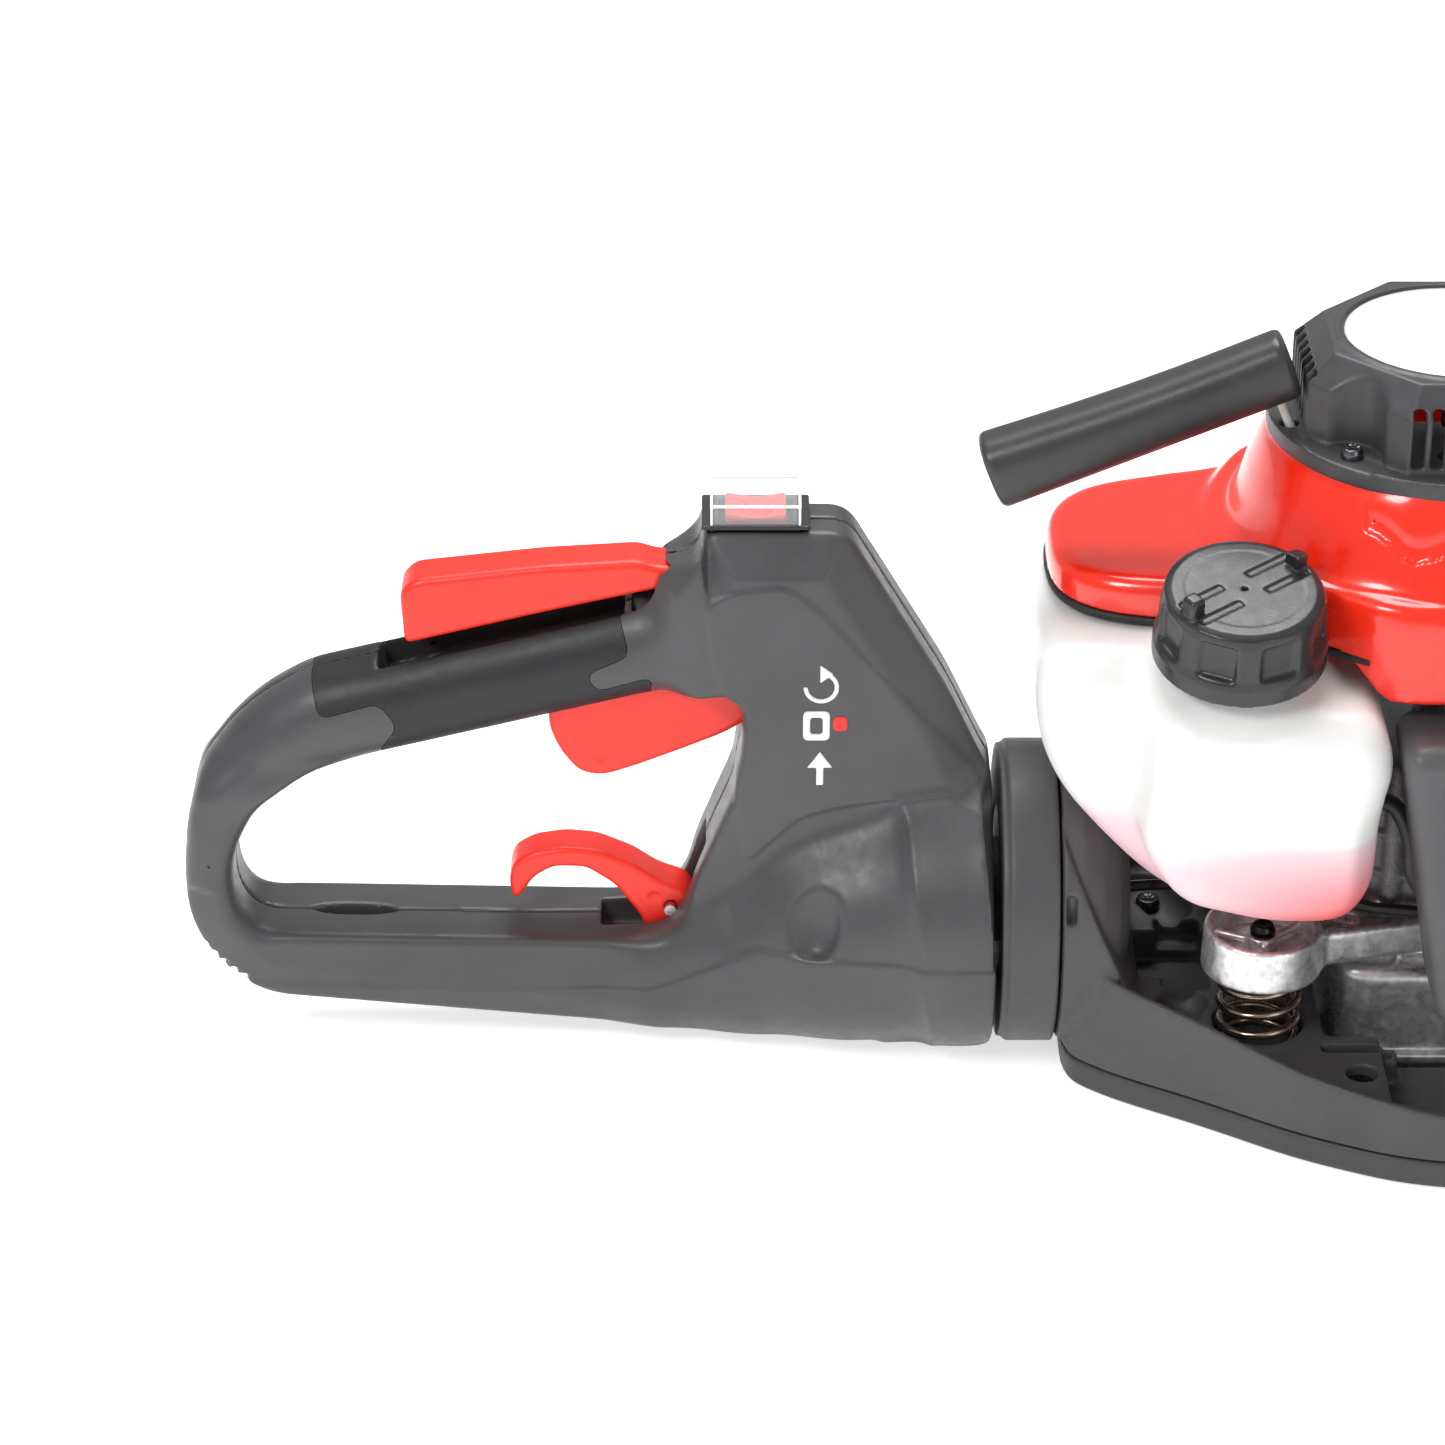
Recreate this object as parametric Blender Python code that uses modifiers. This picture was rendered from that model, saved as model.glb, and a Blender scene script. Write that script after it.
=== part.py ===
"""A petrol hedge trimmer with a swivelling rear handle, an engine on springs and two sliding blades.

+X points along the blades, +Y to the operator's left and +Z up. The origin lies on the base's flat
underside, below the crankshaft. Lengths are in metres; the numbers in shapes are millimetres times MM.
"""

import math

import bmesh
import bpy
from mathutils import Matrix, Vector

MM = 0.001

# Driving dimensions
SWIVEL_Z = 52.5 * MM
GRIP_REAR = Vector((-380 * MM, 0, 121.8 * MM))
GRIP_FRONT = Vector((-258 * MM, 0, 152.2 * MM))
SPRING_R = 12.4 * MM
SPRING_WIRE = 1.3 * MM
CRANK_Z = 93 * MM
GEAR_X = 38 * MM
ECCENTRIC_THROW = 7 * MM
PULL_AXIS = Vector((-0.37, 0, 0.93)).normalized()
CAP_CENTRE = Vector((-74 * MM, -68 * MM, 178 * MM))
CAP_TILT = math.radians(13)
CAP_AXIS = Vector((0, -math.sin(CAP_TILT), math.cos(CAP_TILT)))

# Joint axes, in the world frame
TRIGGER_PIVOT = Vector((-227 * MM, 0, 141 * MM))
LOCKOUT_PIVOT = Vector((-243 * MM, 0, 177.5 * MM))
LOCK_LEVER_PIVOT = Vector((-258 * MM, 0, 50 * MM))
ROCKER_PIVOT = Vector((-229 * MM, 0, 190 * MM))
CHOKE_PIVOT = Vector((110 * MM, -64 * MM, 118 * MM))

BOLTS = (170, 560)
PINS = {"trigger_pin": TRIGGER_PIVOT, "lockout_pin": LOCKOUT_PIVOT, "lock_lever_pin": LOCK_LEVER_PIVOT}

ROUND = 24
parts = bpy.data.collections.new("hedge_trimmer")
cutters = bpy.data.collections.new("cutters")


def material(name, colour, roughness, metallic=0.0, alpha=1.0):
    """A Principled material."""
    made = bpy.data.materials.new(name)
    made.use_nodes = True
    shader = made.node_tree.nodes["Principled BSDF"]
    shader.inputs["Base Color"].default_value = (*colour, 1)
    shader.inputs["Roughness"].default_value = roughness
    shader.inputs["Metallic"].default_value = metallic
    shader.inputs["Alpha"].default_value = alpha
    return made


def v(x, y, z):
    """A point given in millimetres."""
    return Vector((x, y, z)) * MM


def new_object(name, data, finish=None, hidden=False):
    """Links an object to the parts, or to the cutters if hidden."""
    made = bpy.data.objects.new(name, data)
    (cutters if hidden else parts).objects.link(made)
    made.hide_render = hidden
    if hidden:
        made.display_type = "WIRE"
    if finish:
        made.data.materials.append(finish)
    return made


def mesh_from(shape, name):
    """Turns a bmesh into a mesh shaded smooth with sharp corners."""
    bmesh.ops.recalc_face_normals(shape, faces=shape.faces)
    mesh = bpy.data.meshes.new(name)
    shape.to_mesh(mesh)
    shape.free()
    mesh.shade_smooth()
    mesh.set_sharp_from_angle(angle=math.radians(35))
    return mesh


def box(name, low, high, finish=None, turn=None):
    """A block between two corners in millimetres, turned about its middle by a matrix if given."""
    low, high = Vector(low) * MM, Vector(high) * MM
    shape = bmesh.new()
    bmesh.ops.create_cube(shape, size=1)
    bmesh.ops.transform(shape, matrix=Matrix.Diagonal((*(high - low), 1)), verts=shape.verts)
    made = new_object(name, mesh_from(shape, name), finish, finish is None)
    made.matrix_world = Matrix.Translation((low + high) / 2) @ (turn or Matrix())
    return made


def rod(name, start, end, radius, finish=None, end_radius=None, sides=ROUND):
    """A straight cylinder or cone between two points in metres."""
    start, end = Vector(start), Vector(end)
    shape = bmesh.new()
    last = radius if end_radius is None else end_radius
    bmesh.ops.create_cone(
        shape, cap_ends=True, segments=sides, radius1=radius, radius2=last, depth=(end - start).length
    )
    made = new_object(name, mesh_from(shape, name), finish, finish is None)
    turn = Vector((0, 0, 1)).rotation_difference(end - start).to_matrix().to_4x4()
    made.matrix_world = Matrix.Translation((start + end) / 2) @ turn
    return made


def turned(name, profile, finish=None, place=None, steps=ROUND):
    """A solid of revolution about local Z; the profile (radius, height) in mm runs down its outer side."""
    mesh = bpy.data.meshes.new(name)
    mesh.from_pydata([v(r, 0, z) for r, z in profile], [(i, i + 1) for i in range(len(profile) - 1)], [])
    made = new_object(name, mesh, finish, finish is None)
    screw = made.modifiers.new("screw", "SCREW")
    screw.steps = screw.render_steps = steps
    screw.use_merge_vertices = True
    screw.merge_threshold = 0.00001
    made.matrix_world = place or Matrix()
    return made


def ring(name, outer, inner, low, high, finish=None, place=None, steps=ROUND):
    """A plain turned ring between two heights, all in millimetres."""
    profile = [(inner, high), (outer, high), (outer, low), (inner, low), (inner, high)]
    return turned(name, profile, finish, place, steps)


def outline(name, points, low, high, finish=None, plane="XY"):
    """A flat outline in millimetres given a thickness: XY from z low to high, or XZ from y low to high."""
    curve = bpy.data.curves.new(name, "CURVE")
    curve.dimensions = "2D"
    curve.fill_mode = "BOTH"
    curve.extrude = (high - low) / 2 * MM
    spline = curve.splines.new("POLY")
    spline.points.add(len(points) - 1)
    for point, (a, b) in zip(spline.points, points):
        point.co = (a * MM, b * MM, 0, 1)
    spline.use_cyclic_u = True
    middle = (low + high) / 2 * MM
    if plane == "XY":
        place = Matrix.Translation((0, 0, middle))
    else:
        place = Matrix.Translation((0, middle, 0)) @ Matrix.Rotation(math.pi / 2, 4, "X")
    return baked(name, new_object(name + "_curve", curve, None, True), place, finish)


def tube(name, points, radius, finish=None, sides=2):
    """A round bar along points in metres."""
    curve = bpy.data.curves.new(name, "CURVE")
    curve.dimensions = "3D"
    curve.bevel_depth = radius
    curve.bevel_resolution = sides
    curve.use_fill_caps = True
    spline = curve.splines.new("POLY")
    spline.points.add(len(points) - 1)
    for point, place in zip(spline.points, points):
        point.co = (*place, 1)
    return baked(name, new_object(name + "_curve", curve, None, True), Matrix(), finish)


def baked(name, source, place, finish):
    """Replaces a curve object by a closed mesh object."""
    bpy.context.view_layer.update()
    mesh = bpy.data.meshes.new_from_object(source.evaluated_get(bpy.context.evaluated_depsgraph_get()))
    data = source.data
    bpy.data.objects.remove(source)
    bpy.data.curves.remove(data)
    shape = bmesh.new()
    shape.from_mesh(mesh)
    bmesh.ops.remove_doubles(shape, verts=shape.verts, dist=0.00001)
    made = new_object(name, mesh_from(shape, name), finish, finish is None)
    made.matrix_world = place
    return made


def loft(name, sections, finish=None):
    """A closed solid through rings of points in metres, each ring with as many points."""
    shape = bmesh.new()
    rings = [[shape.verts.new(point) for point in section] for section in sections]
    for first, second in zip(rings, rings[1:]):
        for i in range(len(first)):
            j = (i + 1) % len(first)
            shape.faces.new((first[i], first[j], second[j], second[i]))
    shape.faces.new(rings[0])
    shape.faces.new(rings[-1])
    return new_object(name, mesh_from(shape, name), finish, finish is None)


def apply(made, kind, operand, solver="EXACT"):
    """One Boolean with a cutter or a helper."""
    modifier = made.modifiers.new(kind.lower(), "BOOLEAN")
    modifier.operation = kind
    modifier.solver = solver
    modifier.object = operand


def cut(made, *tools):
    """Takes tools away from a piece."""
    for tool in tools:
        apply(made, "DIFFERENCE", tool)
    return made


def join(made, *tools):
    """Adds tools to a piece."""
    for tool in tools:
        apply(made, "UNION", tool)
    return made


def round_edges(made, width, segments=2, angle=40):
    """Rounds a piece's edges; width in millimetres."""
    bevel = made.modifiers.new("bevel", "BEVEL")
    bevel.width = width * MM
    bevel.segments = segments
    bevel.limit_method = "ANGLE"
    bevel.angle_limit = math.radians(angle)
    return made


def finished(made):
    """Applies a piece's modifiers, so that it can be copied or cut again."""
    bpy.context.view_layer.update()
    mesh = bpy.data.meshes.new_from_object(made.evaluated_get(bpy.context.evaluated_depsgraph_get()))
    made.modifiers.clear()
    made.data = mesh
    return made


def set_origin(made, point):
    """Puts a piece's origin on its joint axis and leaves its shape where it is."""
    made.data.transform(Matrix.Translation(-point) @ made.matrix_world)
    made.matrix_world = Matrix.Translation(point)
    return made


def circle(centre, radius, axis="X", sides=ROUND, height=None):
    """A ring of points round an axis; height makes it an ellipse."""
    tall = height or radius
    ring_points = []
    for i in range(sides):
        angle = 2 * math.pi * i / sides
        a, b = radius * math.cos(angle), tall * math.sin(angle)
        offset = Vector((0, a, b)) if axis == "X" else Vector((a, b, 0))
        ring_points.append(Vector(centre) + offset)
    return ring_points


def inset(points, distance):
    """An outline moved inwards by a distance, or outwards if it is negative; points run anticlockwise."""
    moved = []
    for i, point in enumerate(points):
        before, after = Vector(points[i - 1]), Vector(points[(i + 1) % len(points)])
        here = Vector(point)
        first, second = (here - before).normalized(), (after - here).normalized()
        normal = (Vector((-first.y, first.x)) + Vector((-second.y, second.x))).normalized()
        reach = distance / max(0.4, normal.dot(Vector((-first.y, first.x))))
        moved.append(tuple(here + normal * reach))
    return moved


def mirrored(points):
    """An outline given for y <= 0, closed by its mirror image."""
    return points + [(x, -y) for x, y in reversed(points) if abs(y) > 0.01]


# Handle outlines in the XZ plane, in millimetres, anticlockwise
HANDLE_OUTER = [
    (-396, 19), (-300, 10), (-248, 5.5), (-206, 3), (-147.6, 2), (-147.6, 103), (-164, 138), (-198, 195.5),
    (-248, 196), (-250, 172), (-262, 169.5), (-381, 140), (-396, 131), (-407, 121), (-418, 106),
    (-423, 88), (-425, 68), (-424.5, 52), (-420, 39), (-411, 27),
]
HANDLE_OPENING = [
    (-398, 46.5), (-262, 44), (-254, 52), (-251, 66), (-244, 84), (-237, 101), (-233.5, 119), (-233.5, 136),
    (-262, 132.5), (-382, 102.5), (-396, 94), (-404, 79), (-407, 66), (-405, 54),
]
BARREL = [
    (-286, 17, 27), (-262, 22, 26.5), (-230, 31, 34), (-197, 42, 43.5), (-170, 49, 50), (-147.6, 52.4, 52.5),
]
SWIVEL_PLACE = Matrix.Translation((0, 0, SWIVEL_Z)) @ Matrix.Rotation(math.pi / 2, 4, "Y")
PIN_Z = 18 * MM
PIN_R = 3 * MM


def grip_frame():
    """The frame of the grip: X along it from its rear end, Z square to it and upwards."""
    along = (GRIP_FRONT - GRIP_REAR).normalized()
    across = Vector((0, 1, 0))
    return Matrix.Translation(GRIP_REAR) @ Matrix((along, across, along.cross(across))).transposed().to_4x4()


def grip_box(name, low, high):
    """A cutter given in the grip's frame, in millimetres."""
    made = box(name, low, high)
    made.matrix_world = grip_frame() @ made.matrix_world
    return made


def grip_rod(name, start, end, radius):
    """A rod along the grip's axis between two places in millimetres."""
    frame = grip_frame()
    return rod(name, frame @ v(start, 0, 0), frame @ v(end, 0, 0), radius)


def barrel(name, start, shrink):
    """The round front of the handle, which widens to the swivel."""
    sections = []
    for x, radius, height in BARREL[start:]:
        sections.append(circle(v(x, 0, height), (radius - shrink) * MM))
    return loft(name, sections)


def handle_cutters():
    """What is taken out of the closed handle shells for the pieces that they hold."""
    return [
        grip_box("trigger_slot", (76, -8.4, -30), (128, 8.4, -2)),
        box("trigger_slot_front", (-300, -8.4, 106), (-229, 8.4, 141)),
        grip_box("lockout_slot", (29, -9.7, 6), (124, 9.7, 32)),
        box("lockout_slot_front", (-265, -9.7, 166), (-236, 9.7, 187)),
        box("lock_lever_slot", (-282, -8.7, 34), (-243, 8.7, 75)),
        box("switch_hole", (-244.5, -10.5, 176), (-213.5, 10.5, 210)),
        rod("spigot_hole", (-0.17, 0, SWIVEL_Z), (-0.14, 0, SWIVEL_Z), 18.3 * MM),
        *[
            rod(f"{name}_hole", pivot - v(0, 16.4, 0), pivot + v(0, 16.4, 0), 2.3 * MM, sides=16)
            for name, pivot in PINS.items()
        ],
        rod("pin_hole", (-0.17, 0, PIN_Z), (-0.14, 0, PIN_Z), 3.5 * MM, sides=16),
    ]


def handle_shells(finish):
    """The handle's two hollow halves: a flat-sided loop with a round barrel, and a core inside the grip."""
    whole = outline("handle_shell_right", HANDLE_OUTER, -20, 20, finish, "XZ")
    hand_opening = outline("hand_opening", HANDLE_OPENING, -30, 30, None, "XZ")
    cut(whole, hand_opening, grip_box("grip_zone", (0, -30, -25), (122.5, 30, 25)))
    whole = finished(whole)
    round_edges(whole, 7, 2, 50)
    join(whole, barrel("barrel_outer", 0, 0), grip_rod("grip_core", -6, 130, 15.2 * MM))

    pocket = outline("pocket", inset(HANDLE_OUTER, 3), -17, 17, None, "XZ")
    kept = outline("pocket_opening", inset(HANDLE_OPENING, -3), -30, 30, None, "XZ")
    cut(pocket, kept, grip_box("pocket_grip_zone", (-3, -30, -25), (125.5, 30, 25)))
    pocket = finished(pocket)
    front_wall = box("front_wall_keep", (-152, -60, -10), (-140, 60, 120))
    cut(whole, cut(pocket, front_wall), cut(finished(barrel("barrel_inner", 1, 3)), front_wall))
    cut(whole, grip_rod("core_bore", -16, 136, 12.2 * MM), *handle_cutters())
    cut(whole, box("left_side", (-440, -0.15, -20), (-100, 60, 240)))
    finished(whole)
    left = new_object("handle_shell_left", whole.data)
    left.matrix_world = Matrix.Diagonal((1, -1, 1, 1)) @ whole.matrix_world
    return [whole, left]


def grip_sleeve(finish):
    """The soft sleeve round the grip, open above and below for the lockout and the trigger."""
    place = grip_frame() @ Matrix.Rotation(math.pi / 2, 4, "Y")
    made = ring("grip_sleeve", 18, 15.5, 0.3, 122.2, finish, place)
    return cut(made, bpy.data.objects["trigger_slot"], bpy.data.objects["trigger_slot_front"],
               bpy.data.objects["lockout_slot"])


def swivel_spigot(finish):
    """The hollow spigot that holds the handle in the collar between two flanges."""
    profile = [
        (14, -120), (18, -120), (18, -122), (26, -122), (26, -128), (18, -128), (18, -156),
        (28, -156), (28, -162), (14, -162), (14, -120),
    ]
    return turned("swivel_spigot", profile, finish, SWIVEL_PLACE)


def cross_pin(name, pivot, half_length, radius, finish):
    """A steel pin across the handle, on a lever's axis."""
    return rod(name, pivot - v(0, half_length, 0), pivot + v(0, half_length, 0), radius, finish, sides=16)


def lever(name, points, half_width, pivot, bore, finish, rounding):
    """A flat lever with rounded edges and a bore on its pivot."""
    flat = outline(name, points, -half_width, half_width, finish, "XZ")
    made = finished(round_edges(flat, rounding, 2, 50))
    cut(made, rod(name + "_bore", pivot - v(0, 20, 0), pivot + v(0, 20, 0), bore, sides=16))
    return set_origin(finished(made), pivot)


def throttle_trigger(finish):
    """The trigger under the grip."""
    points = [
        (-299, 131), (-299, 120), (-296, 111), (-287, 100.5), (-280, 99.5), (-262, 106), (-240, 115.5),
        (-229, 123), (-221.5, 134), (-221.5, 144), (-226, 148), (-242, 146), (-262, 140),
    ]
    return lever("throttle_trigger", points, 7, TRIGGER_PIVOT, 2.3 * MM, finish, 1)


def lockout_lever(finish):
    """The safety lever on top of the grip."""
    points = [
        (-348, 171), (-347, 151), (-300, 163), (-262, 172), (-240, 173), (-238.5, 176), (-239, 181),
        (-243, 183), (-259, 184), (-344, 176),
    ]
    return lever("lockout_lever", points, 9, LOCKOUT_PIVOT, 2.3 * MM, finish, 1)


def swivel_lock_lever(finish):
    """The hooked finger lever that draws the swivel's lock pin."""
    points = [
        (-313.5, 60), (-312, 67), (-305, 71.5), (-294, 73), (-283, 72), (-271, 66.5), (-262, 60), (-252, 57),
        (-249, 51), (-251, 44), (-256, 38), (-257.5, 17), (-264.5, 17), (-265, 36), (-268.5, 46),
        (-277, 58), (-287, 65), (-298, 65.5), (-305, 61), (-309.5, 54), (-312.5, 52),
    ]
    return lever("swivel_lock_lever", points, 8, LOCK_LEVER_PIVOT, 2.3 * MM, finish, 0.8)


def swivel_lock_pin(finish):
    """The pin that the lock lever draws back."""
    made = rod("swivel_lock_pin", (-0.2555, 0, PIN_Z), (-0.1412, 0, PIN_Z), PIN_R, finish, sides=16)
    return made


def stop_switch(black, red, clear):
    """The frame, rocker and clear cover of the stop switch, on top of the handle."""
    frame = box("switch_frame", (-244.2, -10.2, 185.5), (-213.8, 10.2, 196.6), black)
    join(frame, box("switch_flange", (-247, -13, 196.3), (-211, 13, 197.5)))
    cut(frame, box("switch_well", (-241, -7.5, 170), (-217, 7.5, 210)))
    rocker = box("stop_rocker", (-239.2, -7, 187), (-218.8, 7, 196), red)
    round_edges(rocker, 1, 2)
    cover = box("switch_cover", (-246, -12, 197.8), (-212, 12, 203), clear)
    cut(cover, box("cover_hollow", (-244.5, -10.8, 190), (-213.5, 10.8, 201.5)))
    return [frame, cover], set_origin(finished(rocker), ROCKER_PIVOT)


def throttle_cable_rear(finish):
    """The cable from the trigger down to the swivel's axis, beside the trigger."""
    route = [
        v(-224, 11, 130), v(-223, 11, 104), v(-214, 9, 78),
        v(-195, 3, 58), v(-176, 0, 52.5), v(-150.2, 0, 52.5),
    ]
    return tube("throttle_cable_rear", smooth(route, 4), 2 * MM, finish)


def smooth(points, steps):
    """Points of a Catmull-Rom curve through the given ones."""
    ends = [2 * points[0] - points[1]] + list(points) + [2 * points[-1] - points[-2]]
    found = []
    for a, b, c, d in zip(ends, ends[1:], ends[2:], ends[3:]):
        for k in range(steps):
            t = k / steps
            bend = (2 * a - 5 * b + 4 * c - d) * t**2 + (3 * b - a - 3 * c + d) * t**3
            found.append(0.5 * (2 * b + (c - a) * t + bend))
    return found + [points[-1]]


# Base outline seen from above, in millimetres: the right half, from the collar forwards
BASE_SIDE = [
    (-124, -40), (-112, -51), (-100, -59), (-81, -70), (-48, -92), (-15, -107), (20, -112), (60, -110),
    (92, -99), (112, -78), (118, -50),
]
NECK = [(-126, 51), (-118, 49.5), (-111, 44.5), (-105, 37), (-101, 27)]
SPRINGS = {
    "spring_rear_right": (-58, -46), "spring_rear_left": (-58, 46),
    "spring_front_right": (78, -80), "spring_front_left": (78, 80),
}


def swivel_collar(finish):
    """The round collar that the handle turns in, with a bulkhead."""
    profile = [
        (30, -126.3), (52.5, -126.3), (52.5, -145.6), (47.3, -145.6), (47.3, -137), (18.4, -137),
        (18.4, -131), (30, -131), (30, -126.3),
    ]
    return turned("swivel_collar", profile, finish, SWIVEL_PLACE)


def lock_ring(finish):
    """The lock pin's ring: a groove for its tip, with a hole at each quarter turn."""
    profile = [
        (18.5, -137.3), (47, -137.3), (47, -145.3), (38.5, -145.3), (38.5, -140.6), (30.5, -140.6),
        (30.5, -145.3), (18.5, -145.3), (18.5, -137.3),
    ]
    made = turned("lock_ring", profile, finish, SWIVEL_PLACE @ Matrix.Rotation(math.radians(3), 4, "Z"))
    reach = SWIVEL_Z - PIN_Z
    for i, (y, z) in enumerate([(-reach, 0), (0, -reach), (reach, 0)]):
        height = SWIVEL_Z + z
        cut(made, rod(f"lock_hole_{i}", (-0.15, y, height), (-0.13, y, height), 3.4 * MM, sides=12))
    return made


def base_tray(finish):
    """The open tray under the engine, with the hollow neck behind it and a seat for each spring."""
    whole = mirrored(BASE_SIDE)
    made = outline("base_tray", whole, 10.3, 46, finish)
    cut(made, outline("tray_room", inset(whole, 3), 14, 60))
    top = [(-130, 80), (-130, 50), (-101, 45), (-48, 34), (0, 28), (130, 28), (130, 80)]
    cut(made, outline("tray_top", top, -130, 130, None, "XZ"))
    neck = loft("neck", [circle(v(x, 0, 52.5), radius * MM) for x, radius in NECK])
    join(made, neck)
    cut(made, box("below_tray", (-140, -130, -20), (-90, 130, 10.3)))
    for name, (x, y) in SPRINGS.items():
        join(made, rod(name + "_seat", v(x, y, 11), v(x, y, 19.6), 17 * MM))
        cut(made, rod(name + "_well", v(x, y, 17.5), v(x, y, 30), 15 * MM))
    cut(made, box("floor_opening", (-36, -54, 0), (130, 54, 60)))
    cut(made, rod("neck_room", (-0.13, 0, SWIVEL_Z), (-0.112, 0, SWIVEL_Z), 29 * MM))
    cut(made, rod("cable_way", (-0.12, 0, SWIVEL_Z), (-0.09, 0, SWIVEL_Z), 8 * MM, sides=16))
    return made


def base_skirt(finish):
    """The bottom cover: a flat plate with an upright rim under the tray."""
    whole = mirrored(BASE_SIDE)
    made = outline("base_skirt", whole, 0, 10, finish)
    return cut(made, outline("skirt_room", inset(whole, 3), 2.6, 20))


def vibration_spring(name, x, y, finish):
    """One coil spring between the tray and the engine carrier."""
    turns, per_turn, low, high = 4, 10, 18.9, 47.4
    count = turns * per_turn
    points = []
    for i in range(count + 1):
        angle = 2 * math.pi * i / per_turn
        height = low + (high - low) * i / count
        points.append(v(x, y, height) + SPRING_R * Vector((math.cos(angle), math.sin(angle), 0)))
    return tube(name, points, SPRING_WIRE, finish, 1)


def front_handle(finish):
    """The bow handle over the front of the machine."""
    side = [
        v(62, -125, 14), v(66, -125, 44), v(82, -126, 84),
        v(106, -122, 128), v(126, -106, 166), v(136, -72, 189),
    ]
    route = side + [v(139, -34, 194), v(139, 34, 194)] + [Vector((p.x, -p.y, p.z)) for p in reversed(side)]
    made = tube("front_handle", smooth(route, 2), 12 * MM, finish)
    for name, side_y in (("right", -1), ("left", 1)):
        near, far = sorted((112.6 * side_y, 120 * side_y))
        foot = box(f"handle_foot_{name}", (52, near, 12), (74, far, 27))
        join(made, foot)
    return made


def hand_guard(finish):
    """The flat guard in front of the bow handle, on two arms from the tray."""
    shape = [
        (-96, 28.6), (96, 28.6), (116, 62), (121, 116), (105, 162), (60, 182), (-60, 182),
        (-105, 162), (-121, 116), (-116, 62),
    ]
    made = outline("hand_guard", shape, -181, -178, finish, "XZ")
    made.matrix_world = Matrix.Rotation(math.pi / 2, 4, "Z") @ made.matrix_world
    for name, side in (("right", -1), ("left", 1)):
        near, far = sorted((60 * side, 74 * side))
        join(made, box(f"guard_arm_{name}", (94, near, 28.6), (179, far, 32.6)))
    cut(made, box("guard_window", (170, -50, 40), (190, 50, 66)))
    return made


def gear_case(finish):
    """The cast carrier: the gear box, the clutch housing above it and an arm with a foot over each spring."""
    rim = [(-33, -36), (-25, -44), (86, -44), (95, -36), (95, 36), (86, 44), (-25, 44), (-33, 36)]
    made = outline("gear_case", rim, 10, 46, finish)
    join(made, rod("clutch_housing", v(0, 0, 45), v(0, 0, 66), 34 * MM))
    for name, (x, y) in SPRINGS.items():
        reach = math.hypot(x, y)
        arm = box(name + "_arm", (-reach / 2, -10, 50), (reach / 2, 10, 60))
        turn = Matrix.Rotation(math.atan2(y, x), 4, "Z")
        arm.matrix_world = Matrix.Translation(v(x / 2, y / 2, 55)) @ turn
        foot = rod(name + "_foot", v(x, y, 49), v(x, y, 65), 18.5 * MM)
        join(made, arm, foot)
        cut(made, rod(name + "_pocket", v(x, y, 53), v(x, y, 70), 14.5 * MM, sides=24))
    cut(made, outline("case_room", inset(rim, 4), 5, 41.7))
    cut(made, rod("clutch_room", v(0, 0, 46.5), v(0, 0, 70), 29.5 * MM))
    cut(made, rod("pinion_hole", v(0, 0, 35), v(0, 0, 50), 8 * MM, sides=24))
    return cut(made, box("blade_slot", (80, -31, 9), (110, 31, 23)))


def gear_case_cover(finish):
    """The flat plate under the gear box."""
    rim = [(-33, -36), (-25, -44), (86, -44), (95, -36), (95, 36), (86, 44), (-25, 44), (-33, 36)]
    return outline("gear_case_cover", rim, 6.2, 9.7, finish)


def crankcase(finish):
    """The round crankcase, open to the cylinder."""
    made = rod("crankcase", v(0, 0, 66.3), v(0, 0, 122), 36 * MM, finish)
    join(made, box("cylinder_seat", (10, -26, 68), (38, 26, 118)))
    cut(made, rod("crank_room", v(0, 0, 71), v(0, 0, 115), 27.5 * MM))
    cut(made, rod("shaft_hole", v(0, 0, 60), v(0, 0, 130), 5.6 * MM, sides=24))
    return cut(made, rod("bore_mouth", (0, 0, CRANK_Z), (0.05, 0, CRANK_Z), 16 * MM))


def along_x(x, y, z):
    """A place whose local Z points along +X."""
    return Matrix.Translation(v(x, y, z)) @ Matrix.Rotation(math.pi / 2, 4, "Y")


def cylinder(finish):
    """The finned cylinder, which lies forwards, with its bore and plug hole."""
    profile = [(5.2, 112), (22, 112)]
    for i in range(5):
        top = 109 - 13 * i
        profile += [(22, top), (32, top), (32, top - 4), (22, top - 4)]
    profile += [(22, 38.3), (15.8, 38.3), (15.8, 103), (5.2, 103), (5.2, 112)]
    return turned("cylinder", profile, finish, along_x(0, 0, 93), 20)


def spark_plug(finish):
    """The spark plug in the cylinder's end."""
    profile = [(0, 142), (4.5, 142), (4.5, 122), (9, 122), (9, 112.4), (4.9, 112.4), (4.9, 104), (0, 104)]
    return turned("spark_plug", profile, finish, along_x(0, 0, 93), 16)


def plug_boot(finish):
    """The rubber boot on the spark plug."""
    profile = [(0, 150), (8, 150), (9.5, 146), (9.5, 124), (4.9, 124), (4.9, 142.4), (0, 142.4)]
    return turned("plug_boot", profile, finish, along_x(0, 0, 93), 16)


def muffler(steel):
    """The silencer on the left, and its slotted guard."""
    body = box("muffler", (42, 36, 67), (100, 75, 128), steel)
    round_edges(body, 5, 2)
    guard = box("muffler_guard", (38, 76.5, 66), (104, 80, 132), steel)
    for i in range(5):
        cut(guard, box(f"guard_slot_{i}", (44 + 12 * i, 70, 72), (50 + 12 * i, 90, 122)))
    return [body, guard]


def carburettor(finish):
    """The carburettor beside the cylinder."""
    made = box("carburettor", (50, -60, 78), (78, -37, 110), finish)
    join(made, rod("fuel_bowl", v(64, -49, 72), v(64, -49, 79), 9 * MM, sides=24))
    return cut(made, rod("primer_well", v(74.8, -48, 94), v(80, -48, 94), 9.5 * MM))


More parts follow.
